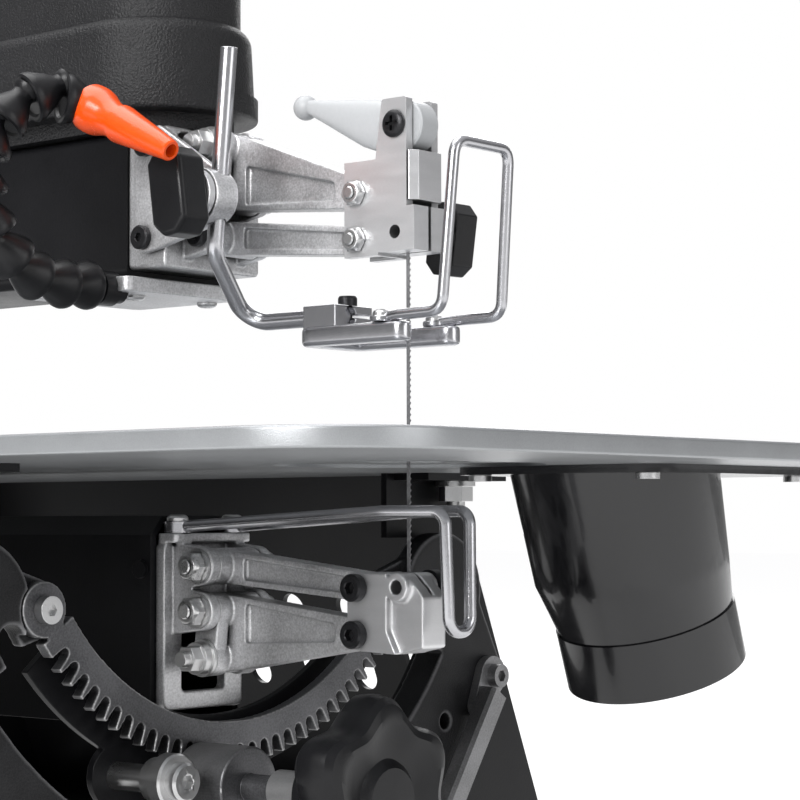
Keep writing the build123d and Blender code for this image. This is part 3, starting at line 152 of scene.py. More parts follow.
def add_floor():
    """Pale floor that glows a little, so that it meets the white backdrop without an edge."""
    mesh = bpy.data.meshes.new("floor")
    bm = bmesh.new()
    bmesh.ops.create_grid(bm, x_segments=1, y_segments=1, size=FLOOR_HALF_SIZE)
    bm.to_mesh(mesh)
    bm.free()
    floor = bpy.data.objects.new("floor", mesh)
    bpy.context.collection.objects.link(floor)
    pale = bpy.data.materials.new("pale_floor")
    pale.use_nodes = True
    shader = pale.node_tree.nodes["Principled BSDF"]
    shader.inputs["Base Color"].default_value = (0.30, 0.30, 0.30, 1)
    shader.inputs["Emission Color"].default_value = (1.0, 1.0, 1.0, 1)
    shader.inputs["Emission Strength"].default_value = 0.80
    shader.inputs["Roughness"].default_value = 0.9
    mesh.materials.append(pale)


def add_studio():
    view = bpy.context.scene.view_settings
    view.view_transform = "Standard"
    view.look = "None"
    add_world()
    add_lights()
    add_floor()


# ---------------------------------------------------------------- materials
# Scale of the broad mottling, pointiness over which the painted edge highlight sets in, and how far from a
# corner and over which share of open sky the painted corner shade fades.
CLOUD_SCALE = 45
EDGE_HIGHLIGHT_BAND = (0.51, 0.58)
SHADE_REACH, SHADE_BAND = 0.007, (0.25, 0.85)


def paint_edge_highlight(tree, base, edge_highlight, edge_highlight_color):
    """Colour output with a painted highlight on sharp edges, pale where pointiness is high; the third
    argument is how much of it shows.
    """
    edge = add_node(tree, "ShaderNodeNewGeometry", {}).outputs["Pointiness"]
    amount = add_ramp(tree, edge, (EDGE_HIGHLIGHT_BAND[0], (0, 0, 0)), (EDGE_HIGHLIGHT_BAND[1], (edge_highlight, edge_highlight, edge_highlight)))
    mix = add_node(tree, "ShaderNodeMix", {}, data_type="RGBA")
    tree.links.new(amount, mix.inputs["Factor"])
    tree.links.new(base, mix.inputs[6])
    mix.inputs[7].default_value = (*edge_highlight_color, 1)
    return mix.outputs[2]


def paint_corner_shade(tree, base, corner_shade):
    """Colour output with painted shade, darker where faces meet as ambient occlusion finds them; the third
    argument is how much darker.
    """
    corner = add_node(tree, "ShaderNodeAmbientOcclusion", {"Distance": SHADE_REACH}, samples=6)
    shade = add_node(tree, "ShaderNodeMapRange", {"Value": corner.outputs["AO"], "From Min": SHADE_BAND[0],
                                                  "From Max": SHADE_BAND[1], "To Min": 1 - corner_shade})
    shaded = add_node(tree, "ShaderNodeMix", {}, data_type="RGBA", blend_type="MULTIPLY")
    shaded.inputs["Factor"].default_value = 1.0
    tree.links.new(base, shaded.inputs[6])
    tree.links.new(shade.outputs["Result"], shaded.inputs[7])
    return shaded.outputs[2]


def new_material(name, color, metallic, roughness, grain=600.0, bump=0.05, bump_depth=0.0002,
                 mottle=0.15, rough_spread=0.12, edge_highlight=0.0, edge_highlight_color=(0.6, 0.6, 0.6), stretch=None,
                 corner_shade=0.0, **constants):
    """Principled surface with mottled colour, grain bump, an optional painted highlight on sharp edges and
    optional painted shade where faces meet.

    constants are shader inputs that are the same all over, by their socket name with
    underscores for spaces."""
    material = bpy.data.materials.new(name)
    material.use_nodes = True
    tree = material.node_tree
    shader = tree.nodes["Principled BSDF"]
    shader.inputs["Metallic"].default_value = metallic
    for key, value in constants.items():
        shader.inputs[key.replace("_", " ")].default_value = value

    place = add_node(tree, "ShaderNodeTexCoord", {}).outputs["Object"]
    if stretch:
        place = add_node(tree, "ShaderNodeMapping", {"Vector": place, "Scale": stretch}).outputs["Vector"]
    grains = add_node(tree, "ShaderNodeTexNoise", {"Vector": place, "Scale": grain, "Detail": 3})
    clouds = add_node(tree, "ShaderNodeTexNoise", {"Vector": place, "Scale": CLOUD_SCALE, "Detail": 5})
    fine, broad = grains.outputs["Fac"], clouds.outputs["Fac"]
    half = add_node(tree, "ShaderNodeMath", {0: broad, 1: 0.5}, operation="MULTIPLY")
    both = add_node(tree, "ShaderNodeMath", {0: fine, 1: 0.5, 2: half.outputs[0]},
                    operation="MULTIPLY_ADD")
    pattern = both.outputs[0]

    dark = [c * (1 - mottle) for c in color]
    light = [min(1.0, c * (1 + mottle)) for c in color]
    base = add_ramp(tree, pattern, (0.35, dark), (0.65, light))
    # Painted highlight: a pale colour on sharp edges.
    if edge_highlight:
        base = paint_edge_highlight(tree, base, edge_highlight, edge_highlight_color)
    # Painted shade: darker where faces meet.
    if corner_shade:
        base = paint_corner_shade(tree, base, corner_shade)
    rough = add_node(tree, "ShaderNodeMapRange",
                     {"Value": pattern, "From Min": 0.3, "From Max": 0.7,
                      "To Min": max(0.02, roughness - rough_spread / 2),
                      "To Max": min(1.0, roughness + rough_spread / 2)})
    relief = add_node(tree, "ShaderNodeBump", {"Height": fine, "Strength": bump, "Distance": bump_depth})
    tree.links.new(base, shader.inputs["Base Color"])
    tree.links.new(rough.outputs["Result"], shader.inputs["Roughness"])
    tree.links.new(relief.outputs["Normal"], shader.inputs["Normal"])
    return material


MATERIALS = {
    "table_paint": new_material("table_paint", (0.33, 0.34, 0.35), 0.6, 0.36, grain=2600, bump=0.5,
                                bump_depth=0.0001, mottle=0.08, rough_spread=0.06),
    "black_paint": new_material("black_paint", (0.006, 0.006, 0.007), 0.0, 0.36, grain=900, bump=0.25,
                                Specular_IOR_Level=0.2),
    # Pale colour on sharp edges in these materials is a painted highlight.
    "ring_iron": new_material("ring_iron", (0.014, 0.014, 0.015), 0.1, 0.42, grain=1500, bump=0.8,
                              mottle=0.7, edge_highlight=0.9, edge_highlight_color=(0.35, 0.35, 0.36), Specular_IOR_Level=0.22),
    # Darkening where faces meet in these materials is painted shade.
    "cast_alloy": new_material("cast_alloy", (0.62, 0.62, 0.63), 0.8, 0.40, grain=1300, bump=0.5,
                               mottle=0.3, corner_shade=0.75, edge_highlight=0.5, edge_highlight_color=(0.7, 0.7, 0.7)),
    "sector_alloy": new_material("sector_alloy", (0.10, 0.10, 0.105), 0.8, 0.40, grain=1300, bump=0.5,
                                 mottle=0.4, corner_shade=0.5, edge_highlight=0.9, edge_highlight_color=(0.6, 0.6, 0.6)),
    "machined": new_material("machined", (0.72, 0.72, 0.73), 0.85, 0.36, corner_shade=0.6, grain=900, bump=0.12,
                             stretch=(1, 1, 6), mottle=0.04, rough_spread=0.08),
    "screw_black": new_material("screw_black", (0.02, 0.02, 0.022), 0.6, 0.34, grain=1500, bump=0.3,
                                mottle=0.3),
    "zinc": new_material("zinc", (0.62, 0.62, 0.62), 1.0, 0.3, grain=1800, bump=0.12, mottle=0.05,
                         rough_spread=0.08),
    "chrome": new_material("chrome", (0.52, 0.52, 0.54), 1.0, 0.25, grain=700, bump=0.03, mottle=0.03,
                           rough_spread=0.05),
    "pebble": new_material("pebble", (0.008, 0.008, 0.009), 0.0, 0.42, grain=1100, bump=1.0,
                           bump_depth=0.0006, Specular_IOR_Level=0.32),
    "moulded": new_material("moulded", (0.007, 0.007, 0.008), 0.0, 0.34, grain=2200, bump=0.3,
                            Specular_IOR_Level=0.3),
    "gloss_black": new_material("gloss_black", (0.006, 0.006, 0.007), 0.0, 0.2, grain=300, bump=0.05,
                                Coat_Weight=0.3),
    "orange": new_material("orange", (0.80, 0.075, 0.004), 0.0, 0.24, grain=900, bump=0.08, mottle=0.06,
                           Subsurface_Weight=0.06),
    "nylon": new_material("nylon", (0.40, 0.41, 0.42), 0.0, 0.42, grain=700, bump=0.1, mottle=0.03,
                          corner_shade=0.45),
    "rubber": new_material("rubber", (0.02, 0.02, 0.02), 0.0, 0.6, grain=1500, bump=0.5),
    "blade_steel": new_material("blade_steel", (0.36, 0.36, 0.37), 1.0, 0.38, grain=900, bump=0.3),
    "graphite": new_material("graphite", (0.24, 0.24, 0.245), 0.8, 0.40, grain=1300, bump=0.4,
                             mottle=0.25),
}

NODE_MATERIALS = {
    "table_paint": ["table", "table_insert"],
    "black_paint": ["base_frame", "upper_arm", "upper_arm_cover", "lower_arm_housing",
                    "head_carrier", "rear_head_carrier", "rear_column", "motor"],
    "ring_iron": ["front_trunnion_ring", "rear_trunnion_ring"],
    "sector_alloy": ["tilt_sector", "tilt_pinion"],
    "cast_alloy": ["blower_plate", "upper_bracket", "lower_bracket", "hold_down_bracket", "upper_bellcrank",
                   "upper_link", "lower_bellcrank", "lower_link", "rear_rocker", "con_rod"],
    "machined": ["upper_holder", "lower_holder", "tension_block", "motor_crank", "upper_push_rod",
                 "lower_push_rod", "hold_down_washer"],
    "zinc": ["base_fasteners", "upper_rod_bolt", "lower_rod_bolt"],
    "chrome": ["hold_down_rod", "lower_guard_wire"],
    "pebble": ["control_housing"],
    "moulded": ["upper_clamp_knob", "hold_down_grip", "tension_lever",
                "speed_dial", "power_switch", "mains_gland", "motor_fan_cover"],
    "gloss_black": ["dust_port"],
    "rubber": ["tilt_lock_grip"],
    "graphite": ["tilt_lock_lever"],
}


# ---------------------------------------------------------------- carried-over CAD pieces
WELD_REACH = 0.00001
DEFAULT_EDGE = 0.45
# Width in mm of the rounded edges, where it isn't the default.
EDGE_WIDTHS = {"base_frame": 0.8, "upper_arm": 0.8, "table": 0, "hold_down_grip": 1.2, "control_housing": 0}
# Castings whose edges are rounded over: smoothing passes and grid size in mm.
CAST_LOOK = {"upper_bracket": (6, 0.45), "lower_bracket": (6, 0.45), "hold_down_bracket": (5, 0.45),
             "upper_bellcrank": (6, 0.45), "upper_link": (6, 0.45), "lower_bellcrank": (6, 0.45),
             "lower_link": (6, 0.45), "lower_holder": (5, 0.45), "blower_plate": (8, 0.5),
             "tilt_sector": (4, 0.5), "front_trunnion_ring": (5, 0.8), "rear_trunnion_ring": (5, 1.0)}


def smoothing_group():
    """Geometry nodes that shade a mesh smooth, apart from its sharper edges."""
    group = bpy.data.node_groups.new("soft_shading", "GeometryNodeTree")
    group.interface.new_socket("Geometry", in_out="INPUT", socket_type="NodeSocketGeometry")
    group.interface.new_socket("Geometry", in_out="OUTPUT", socket_type="NodeSocketGeometry")
    source = add_node(group, "NodeGroupInput", {}).outputs[0]
    angle = add_node(group, "GeometryNodeInputMeshEdgeAngle", {}).outputs["Unsigned Angle"]
    gentle = add_node(group, "FunctionNodeCompare", {"A": angle, "B": radians(28)}, operation="LESS_EQUAL")
    faces = add_node(group, "GeometryNodeSetShadeSmooth", {"Geometry": source})
    edges = add_node(group, "GeometryNodeSetShadeSmooth",
                     {"Geometry": faces.outputs[0], "Shade Smooth": gentle.outputs["Result"]},
                     domain="EDGE")
    add_node(group, "NodeGroupOutput", {0: edges.outputs[0]})
    return group


SOFT_SHADING = smoothing_group()


def weld(piece):
    """Joins the vertices that faces of a CAD mesh don't share."""
    piece.modifiers.new("weld", "WELD").merge_threshold = WELD_REACH


def soften(piece, width_mm):
    """Rounds a piece's sharp edges and shades it smooth."""
    weld(piece)
    flatten = piece.modifiers.new("flatten", "DECIMATE")
    flatten.decimate_type = "DISSOLVE"
    flatten.angle_limit = radians(0.4)
    shading = piece.modifiers.new("shading", "NODES")
    shading.node_group = SOFT_SHADING
    if width_mm:
        bevel = piece.modifiers.new("edges", "BEVEL")
        bevel.width = width_mm / 1000
        bevel.segments = 2
        bevel.limit_method = "ANGLE"
        bevel.angle_limit = radians(32)
        bevel.use_clamp_overlap = True
        bevel.harden_normals = True


def round_casting(piece, passes, grid_mm):
    """Rounds every edge of a casting by rebuilding its skin on a fine grid and relaxing it."""
    weld(piece)
    skin = piece.modifiers.new("skin", "REMESH")
    skin.mode = "VOXEL"
    skin.voxel_size = grid_mm / 1000
    skin.use_smooth_shade = True
    relax = piece.modifiers.new("relax", "SMOOTH")
    relax.factor = 0.5
    relax.iterations = passes


def dress_cad_nodes():
    """Gives each CAD node that stays visible its material and its edges or cast skin."""
    for material_name, names in NODE_MATERIALS.items():
        for name in names:
            piece = nodes[name]
            piece.data.materials.clear()
            piece.data.materials.append(MATERIALS[material_name])
            if name in CAST_LOOK:
                round_casting(piece, *CAST_LOOK[name])
            else:
                soften(piece, EDGE_WIDTHS.get(name, DEFAULT_EDGE))


# ---------------------------------------------------------------- shapes of finished pieces
def finish_piece(bm, name, body, material, stands_for=(), edge_mm=0.0):
    """Turns a mesh under construction into a visible piece that rides on a body."""
    bmesh.ops.recalc_face_normals(bm, faces=bm.faces)
    mesh = bpy.data.meshes.new(name)
    bm.to_mesh(mesh)
    bm.free()
    mesh.materials.append(MATERIALS[material])
    piece = bpy.data.objects.new(name, mesh)
    bpy.context.collection.objects.link(piece)
    soften(piece, edge_mm)
    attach(piece, body)
    if stands_for:
        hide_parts(*stands_for)


def angles(count):
    """Evenly spaced angles round a circle."""
    return [2 * pi * n / count for n in range(count)]


def skin_over(bm, rings):
    """Faces from each ring of vertices to the next, with both ends closed. A ring of one vertex
    is a point."""
    for near, far in zip(rings, rings[1:]):
        count = max(len(near), len(far))
        for n in range(count):
            m = (n + 1) % count
            if len(near) == 1:
                bm.faces.new((near[0], far[n], far[m]))
            elif len(far) == 1:
                bm.faces.new((near[n], near[m], far[0]))
            else:
                bm.faces.new((near[n], near[m], far[m], far[n]))
    for end in (rings[0], rings[-1]):
        if len(end) > 1:
            bm.faces.new(end)


def frame_along(origin, direction):
    """Matrix whose Z runs along a direction from an origin (mm points)."""
    turn = Vector(direction).to_track_quat("Z", "Y").to_matrix().to_4x4()
    return Matrix.Translation(at(*origin)) @ turn


def lathe(bm, place, profile, segments=40):
    """Turned shape: profile is (distance along, radius) in mm, where the radius can be a function of
    the angle. It starts and ends at radius 0."""
    rings = []
    for along, radius in profile:
        if radius == 0:
            rings.append([bm.verts.new(place @ (Vector((0, 0, along)) / 1000))])
            continue
        ring = []
        for angle in angles(segments):
            reach = radius(angle) if callable(radius) else radius
            spot = Vector((reach * cos(angle), reach * sin(angle), along)) / 1000
            ring.append(bm.verts.new(place @ spot))
        rings.append(ring)
    skin_over(bm, rings)


def hexagonal(across):
    """Radius of a hexagon by its width across flats."""
    return lambda angle: across / 2 / cos((angle % (pi / 3)) - pi / 6)


def cross(reach, half_width):
    """Radius of a plus-shaped screwdriver slot."""
    def radius(angle):
        c, s = max(abs(cos(angle)), 1e-6), max(abs(sin(angle)), 1e-6)
        return max(min(reach / c, half_width / s), min(half_width / c, reach / s))
    return radius


def squared(angle, power):
    """Point of a unit circle pushed out towards a square; the lower the power, the squarer."""
    c, s = cos(angle), sin(angle)
    return copysign(abs(c) ** power, c), copysign(abs(s) ** power, s)


def rod(bm, start, end, radius):
    """Round bar between two mm points."""
    direction = Vector(end) - Vector(start)
    lathe(bm, frame_along(start, direction), [(0, 0), (0, radius), (direction.length, radius),
                                              (direction.length, 0)], 24)


def cross_rod(bm, left, right, y, z, radius):
    """Round bar that runs from side to side."""
    rod(bm, (left, y, z), (right, y, z), radius)


def socket_head(bm, seat, direction, radius, height, key):
    """Cap screw's head with a hexagonal socket; key is the socket's width."""
    lathe(bm, frame_along(seat, direction),
          [(0, 0), (0, radius), (height * 0.8, radius), (height, radius * 0.86), (height, key * 0.62),
           (height - 0.3, hexagonal(key)), (height * 0.35, hexagonal(key)), (height * 0.3, 0)], 48)


def pan_head(bm, seat, direction, radius, height):
    """Domed screw head with a cross slot."""
    lathe(bm, frame_along(seat, direction),
          [(0, 0), (0, radius), (height * 0.45, radius), (height * 0.8, radius * 0.86),
           (height, radius * 0.62), (height, cross(radius * 0.55, radius * 0.13)),
           (height * 0.3, cross(radius * 0.5, radius * 0.12)), (height * 0.3, 0)], 48)


def lock_nut(bm, seat, direction, across, height, pin, washer=0.0):
    """Hexagonal nut with a round collar and the end of its screw, on a washer if one is given."""
    base = 1.4 if washer else 0.0
    if washer:
        lathe(bm, frame_along(seat, direction), [(0, 0), (0, washer), (1.3, washer), (1.3, 0)], 40)
    top = base + height
    lathe(bm, frame_along(seat, direction),
          [(base, 0), (base, across * 0.49), (base + 0.4, hexagonal(across)),
           (top - 1.8, hexagonal(across)), (top - 1.2, across * 0.485), (top - 0.2, across * 0.44),
           (top, across * 0.40), (top, pin + 0.4), (top - 0.7, pin + 0.2), (top - 0.7, pin),
           (top + 0.5, pin), (top + 0.9, pin - 0.5), (top + 0.9, 0)], 48)


def bent_path(points, radius, steps=8):
    """A line through points whose corners are rounded to a bend radius."""
    points = [Vector(p) for p in points]
    path = [points[0]]
    for before, corner, after in zip(points, points[1:], points[2:]):
        to_before, to_after = (before - corner).normalized(), (after - corner).normalized()
        half = to_before.angle(to_after) / 2
        set_back = radius * cos(half) / sin(half)
        start, end = corner + to_before * set_back, corner + to_after * set_back
        for n in range(steps + 1):
            t = n / steps
            path.append(start * (1 - t) ** 2 + corner * 2 * t * (1 - t) + end * t * t)
    return path + [points[-1]]


def tube(bm, path, radius, sides=20):
    """Round bar along a path of mm points."""
    across = (path[1] - path[0]).normalized().orthogonal().normalized()
    rings = []
    for n, point in enumerate(path):
        ahead, behind = path[min(n + 1, len(path) - 1)], path[max(n - 1, 0)]
        direction = (ahead - behind).normalized()
        across = (across - direction * across.dot(direction)).normalized()
        other = direction.cross(across)
        offsets = [across * radius * cos(angle) + other * radius * sin(angle) for angle in angles(sides)]
        rings.append([bm.verts.new(at(*(point + offset))) for offset in offsets])
    skin_over(bm, rings)


# ---------------------------------------------------------------- pivots, screws and nuts
# Link pins at the blade holders, and the fixed pins that sit behind and higher than them.
HOLDER_PIN_Y, FIXED_PIN_Y, FIXED_PIN_RISE = 17.5, 89.7, 7.0
UPPER_PIN_HEIGHTS, LOWER_PIN_HEIGHTS = (92.4, 75.4), (-50.9, -67.8)
PIN_RADIUS = 2.75
# Heads and nuts stand a hair off the sides that they bear on.
HOLDER_SIDE, BRACKET_SIDE = 9.05, 17.1
CAM_Y, CAM_Z = -1, 116


def add_upper_holder_fasteners():
    """Link pins with their nuts, and the cam's pin and screw, on the upper blade holder."""
    pins = bmesh.new()
    for z in UPPER_PIN_HEIGHTS:
        cross_rod(pins, -9, 9.2, HOLDER_PIN_Y, z, PIN_RADIUS)
        lock_nut(pins, (-HOLDER_SIDE, HOLDER_PIN_Y, z), LEFT, across=8.6, height=3.6, pin=2.3)
        socket_head(pins, (HOLDER_SIDE, HOLDER_PIN_Y, z), RIGHT, radius=4.4, height=3.4, key=3)
    cross_rod(pins, -9, 8.8, CAM_Y, CAM_Z, 3)
    finish_piece(pins, "upper_pivot_nuts", "upper_blade_holder", "zinc",
                 ["upper_holder_pins"])
    screw = bmesh.new()
    pan_head(screw, (-HOLDER_SIDE, CAM_Y, CAM_Z), LEFT, radius=5, height=1.95)
    finish_piece(screw, "cam_screw", "upper_blade_holder", "screw_black",
                 ["upper_holder_pins"])


def add_lower_holder_fasteners():
    """Link screws with their nuts, and the blade's clamp screw, on the lower blade holder."""
    clamp_y, clamp_z = -1, -50.5
    screws = bmesh.new()
    for z in LOWER_PIN_HEIGHTS:
        cross_rod(screws, -9.1, 11.9, HOLDER_PIN_Y, z, PIN_RADIUS)
        socket_head(screws, (-HOLDER_SIDE, HOLDER_PIN_Y, z), LEFT, radius=5, height=4.05, key=4)
        lock_nut(screws, (HOLDER_SIDE, HOLDER_PIN_Y, z), RIGHT, across=8.6, height=3.6, pin=2.3)
    cross_rod(screws, 0.6, 11.6, clamp_y, clamp_z, 2.5)
    socket_head(screws, (9.5, clamp_y, clamp_z), RIGHT, radius=6, height=6, key=4)
    finish_piece(screws, "lower_pivot_screws", "lower_blade_holder", "screw_black",
                 ["lower_holder_pins"])


def add_head_fasteners():
    """Lower fixed pins, the lower guard wire's screws, the stud in the trunnion ring's slot, and the
    rear rocker's bolt through the column."""
    wire_screw_y, wire_screw_z = 103, -26.6
    stud_x, stud_z, stud_rear, stud_front = -52.0, -120.0, 96.8, 76.8
    bolt_y, bolt_z, column_side = 573, 19.3, 29
    zinc = bmesh.new()
    for z in LOWER_PIN_HEIGHTS:
        z += FIXED_PIN_RISE
        cross_rod(zinc, -18, 17.2, FIXED_PIN_Y, z, PIN_RADIUS)
        lock_nut(zinc, (-BRACKET_SIDE, FIXED_PIN_Y, z), LEFT, across=10, height=5.5, pin=2.8, washer=6.5)
        socket_head(zinc, (BRACKET_SIDE, FIXED_PIN_Y, z), RIGHT, radius=5.2, height=5, key=4)
    for x in (-15, 15):
        pan_head(zinc, (x, wire_screw_y, wire_screw_z), UP, radius=4.2, height=2.4)
        rod(zinc, (x, wire_screw_y, wire_screw_z - 8), (x, wire_screw_y, wire_screw_z + 0.1), 2.1)
    rod(zinc, (stud_x, stud_rear, stud_z), (stud_x, stud_front, stud_z), 5)
    lathe(zinc, frame_along((stud_x, stud_front, stud_z), FRONT),
          [(0, 0), (0, 8), (6, 8), (6, 10), (11.2, 10), (12, 9.2), (12, 0)], 48)
    socket_head(zinc, (stud_x, stud_front - 12, stud_z), FRONT, radius=7, height=5, key=5)
    cross_rod(zinc, -column_side, column_side, bolt_y, bolt_z, 5)
    for direction, x in ((LEFT, -column_side), (RIGHT, column_side)):
        socket_head(zinc, (x, bolt_y, bolt_z), direction, radius=9, height=5, key=6)
    finish_piece(zinc, "head_screws_and_nuts", "head", "zinc", ["head_fasteners"])


def add_arm_fasteners():
    """The arm's pivot in the column, the upper fixed pins, and the screws of the hold-down bracket
    and of the blower's plate."""
    pivot_y, pivot_z, pivot_side, arm_side = 571.26, 117.3, 29.15, 13
    bracket_side, bracket_screws = 30.6, ((106.5, 81.5), (105, 117))
    plate_screw_y, plate_low = 122, 60.95
    zinc, black = bmesh.new(), bmesh.new()
    for direction, sign in ((LEFT, -1), (RIGHT, 1)):
        cross_rod(zinc, sign * arm_side, sign * pivot_side, pivot_y, pivot_z, 4.8)
        socket_head(zinc, (sign * pivot_side, pivot_y, pivot_z), direction, radius=9, height=4.8, key=6)
    for z in UPPER_PIN_HEIGHTS:
        z += FIXED_PIN_RISE
        cross_rod(zinc, -17.2, 17.2, FIXED_PIN_Y, z, PIN_RADIUS)
        socket_head(black, (-BRACKET_SIDE, FIXED_PIN_Y, z), LEFT, radius=4.6, height=2.9, key=3.4)
        socket_head(zinc, (BRACKET_SIDE, FIXED_PIN_Y, z), RIGHT, radius=5.2, height=5, key=4)
    for y, z in bracket_screws:
        socket_head(black, (-bracket_side, y, z), LEFT, radius=4.6, height=2.6, key=3)
        cross_rod(zinc, -bracket_side - 0.1, -27.2, y, z, 2.2)
    for x in (-20, 20):
        pan_head(zinc, (x, plate_screw_y, plate_low), DOWN, radius=4, height=1.9)
    finish_piece(zinc, "arm_pins", "arm", "zinc", ["arm_fasteners"])
    finish_piece(black, "arm_socket_screws", "arm", "screw_black", ["arm_fasteners"])


# ---------------------------------------------------------------- hold-down foot
FORK_HALF_SPAN, FORK_REAR_Y, FORK_TIP_Y = 13.9, 36.3, -11.5
FORK_HALF_WIDTH, FORK_HALF_HEIGHT, FORK_MIDDLE_Z = 4.1, 3.6, 40.5
TIP_STEPS = 8
FOOT_AXIS_X, FOOT_AXIS_Z, FOOT_BORE = -4.0, 48.5, 3.25
CLAMP_LEFT, CLAMP_RIGHT, CLAMP_FRONT, CLAMP_REAR = -12.5, 8.5, 24.5, 40.4
CLAMP_LOW, CLAMP_TOP, SLIT_LOW, SLIT_TOP = 43.2, 52.3, 48.0, 48.9
WIRE_END_X, WIRE_TOP_Z = 15, 106


def add_foot_fork():
    """Round-edged bar, bent round three sides, with rounded tips."""
    path = bent_path([(-FORK_HALF_SPAN, FORK_TIP_Y, 0), (-FORK_HALF_SPAN, FORK_REAR_Y, 0),
                      (FORK_HALF_SPAN, FORK_REAR_Y, 0), (FORK_HALF_SPAN, FORK_TIP_Y, 0)], 5, 10)
    # The tips' sections: distance from the tip, and share of the full width.
    tip = []
    for n in range(TIP_STEPS + 1):
        angle = pi / 2 * n / TIP_STEPS
        tip.append((FORK_HALF_WIDTH * (1 - cos(angle)), max(0.05, sin(angle))))
    to_rear, to_front = Vector((0, 1, 0)), Vector((0, -1, 0))
    sections = [(path[0] + to_rear * along, to_rear, share) for along, share in tip]
    for before, here, after in zip(path, path[1:], path[2:]):
        sections.append((here, (after - before).normalized(), 1.0))
    sections += [(path[-1] + to_rear * along, to_front, share) for along, share in reversed(tip)]
    outline = [squared(angle, 0.42) for angle in angles(40)]
    bm = bmesh.new()
    rings = []
    for middle, direction, share in sections:
        sideways = Vector((-direction.y, direction.x, 0)) * FORK_HALF_WIDTH * share
        upwards = Vector((0, 0, FORK_HALF_HEIGHT * (0.72 + 0.28 * share)))
        centre = middle + Vector((0, 0, FORK_MIDDLE_Z))
        rings.append([bm.verts.new(at(*(centre + sideways * across + upwards * up)))
                      for across, up in outline])
    skin_over(bm, rings)
    finish_piece(bm, "foot_fork", "foot", "chrome", ["presser_foot"])


def add_foot_clamp_block():
    """Block on the fork, bored for the hold-down rod and slit from its right side into the bore."""
    outline = [(CLAMP_LEFT, CLAMP_LOW), (CLAMP_RIGHT, CLAMP_LOW), (CLAMP_RIGHT, SLIT_LOW)]
    for angle in range(9, 355, 9):
        outline.append((FOOT_AXIS_X + FOOT_BORE * cos(radians(angle)),
                        FOOT_AXIS_Z - FOOT_BORE * sin(radians(angle))))
    outline += [(CLAMP_RIGHT, SLIT_TOP), (CLAMP_RIGHT, CLAMP_TOP), (CLAMP_LEFT, CLAMP_TOP)]
    bm = bmesh.new()
    skin_over(bm, [[bm.verts.new(at(x, y, z)) for x, z in outline] for y in (CLAMP_FRONT, CLAMP_REAR)])
    finish_piece(bm, "foot_clamp_block", "foot", "chrome", ["presser_foot"], edge_mm=0.7)


def add_guard_wire():
    """Bent wire in front of the blade, with a round eye under each screw."""
    left_half = [(-WIRE_END_X, -2.5, 45.6), (-16, -9, 46.1), (-17, -29, 46.4), (-15.5, -34, WIRE_TOP_Z)]
    right_half = [(-x, y, z) for x, y, z in reversed(left_half)]
    bm = bmesh.new()
    tube(bm, bent_path(left_half + right_half, 6), 2.0)
    for x in (-WIRE_END_X, WIRE_END_X):
        lathe(bm, frame_along((x, 0, 44.2), UP),
              [(0, 0), (0, 4.0), (0.4, 4.4), (1.6, 4.4), (2, 4.0), (2, 0)])
    finish_piece(bm, "guard_wire", "foot", "chrome", ["foot_guard_wire"])


def add_foot_screws():
    """The clamp block's cap screw and the guard wire's two pan screws."""
    clamp_x, clamp_y = 4.2, 33
    black, zinc = bmesh.new(), bmesh.new()
    socket_head(black, (clamp_x, clamp_y, CLAMP_TOP + 0.05), UP, radius=3.6, height=4.4, key=3)
    rod(black, (clamp_x, clamp_y, 45), (clamp_x, clamp_y, CLAMP_TOP + 0.1), 1.8)
    for x in (-WIRE_END_X, WIRE_END_X):
        pan_head(zinc, (x, 0, 46.25), UP, radius=3.4, height=2.2)
    finish_piece(black, "foot_clamp_screw", "foot", "screw_black", ["foot_screws"])
    finish_piece(zinc, "foot_wire_screws", "foot", "zinc", ["foot_screws"])


# ---------------------------------------------------------------- lever, hose, knob, blade, dial
LEVER_BALL, LEVER_BALL_RADIUS_M = (0, 50, 129), 0.0048


def add_cam_lever():
    """White lever: a tapered arm with a ball end, growing out of the cam's drum."""
    # Y, middle height, half width and half height of the arm's sections
    sections = ((47, 128.6, 3.3, 2.9), (40, 126.3, 3.8, 4.4), (30, 122.9, 4.3, 6.7), (20, 119.6, 4.7, 9.0),
                (12, 117.6, 4.9, 9.9), (6, 116.9, 4.9, 9.2), (-1, 116.0, 4.8, 7.5))
    outline = [squared(angle, 0.7) for angle in angles(32)]
    bm = bmesh.new()
    rings = []
    for y, middle, half_width, half_height in sections:
        rings.append([bm.verts.new(at(half_width * across, y, middle + half_height * up))
                      for across, up in outline])
    skin_over(bm, rings)
    bmesh.ops.create_uvsphere(bm, u_segments=32, v_segments=20, radius=LEVER_BALL_RADIUS_M,
                              matrix=Matrix.Translation(at(*LEVER_BALL)))
    lathe(bm, frame_along((-5, CAM_Y, CAM_Z), RIGHT),
          [(0, 0), (0, 8.9), (0.6, 9.5), (9.4, 9.5), (10, 8.9), (10, 0)], 56)
    finish_piece(bm, "cam_handle", "cam", "nylon", ["cam_lever"])


# Middle of the hose from the arm to the nozzle's ball.
HOSE_PATH = [(-46, 119.5, 63), (-60, 118.5, 62.3), (-78, 117, 65), (-94, 116, 76), (-102, 115, 92),
             (-101, 113.5, 109), (-94, 110.5, 121), (-84, 107, 128.5), (-70, 101, 128)]
SEGMENT_PITCH, LAST_SEGMENT = 14.0, 132
SEGMENT_PROFILE = [(1.6, 0), (1.2, 6.6), (0.2, 7.4), (0, 8.4), (0.5, 9.3), (1.8, 9.5), (3.4, 9.1),
                   (8.5, 6.6), (11.2, 5.0), (12.6, 4.3), (14.0, 4.3), (15.0, 5.2), (16.5, 5.6),
                   (18, 4.4), (18.6, 0)]


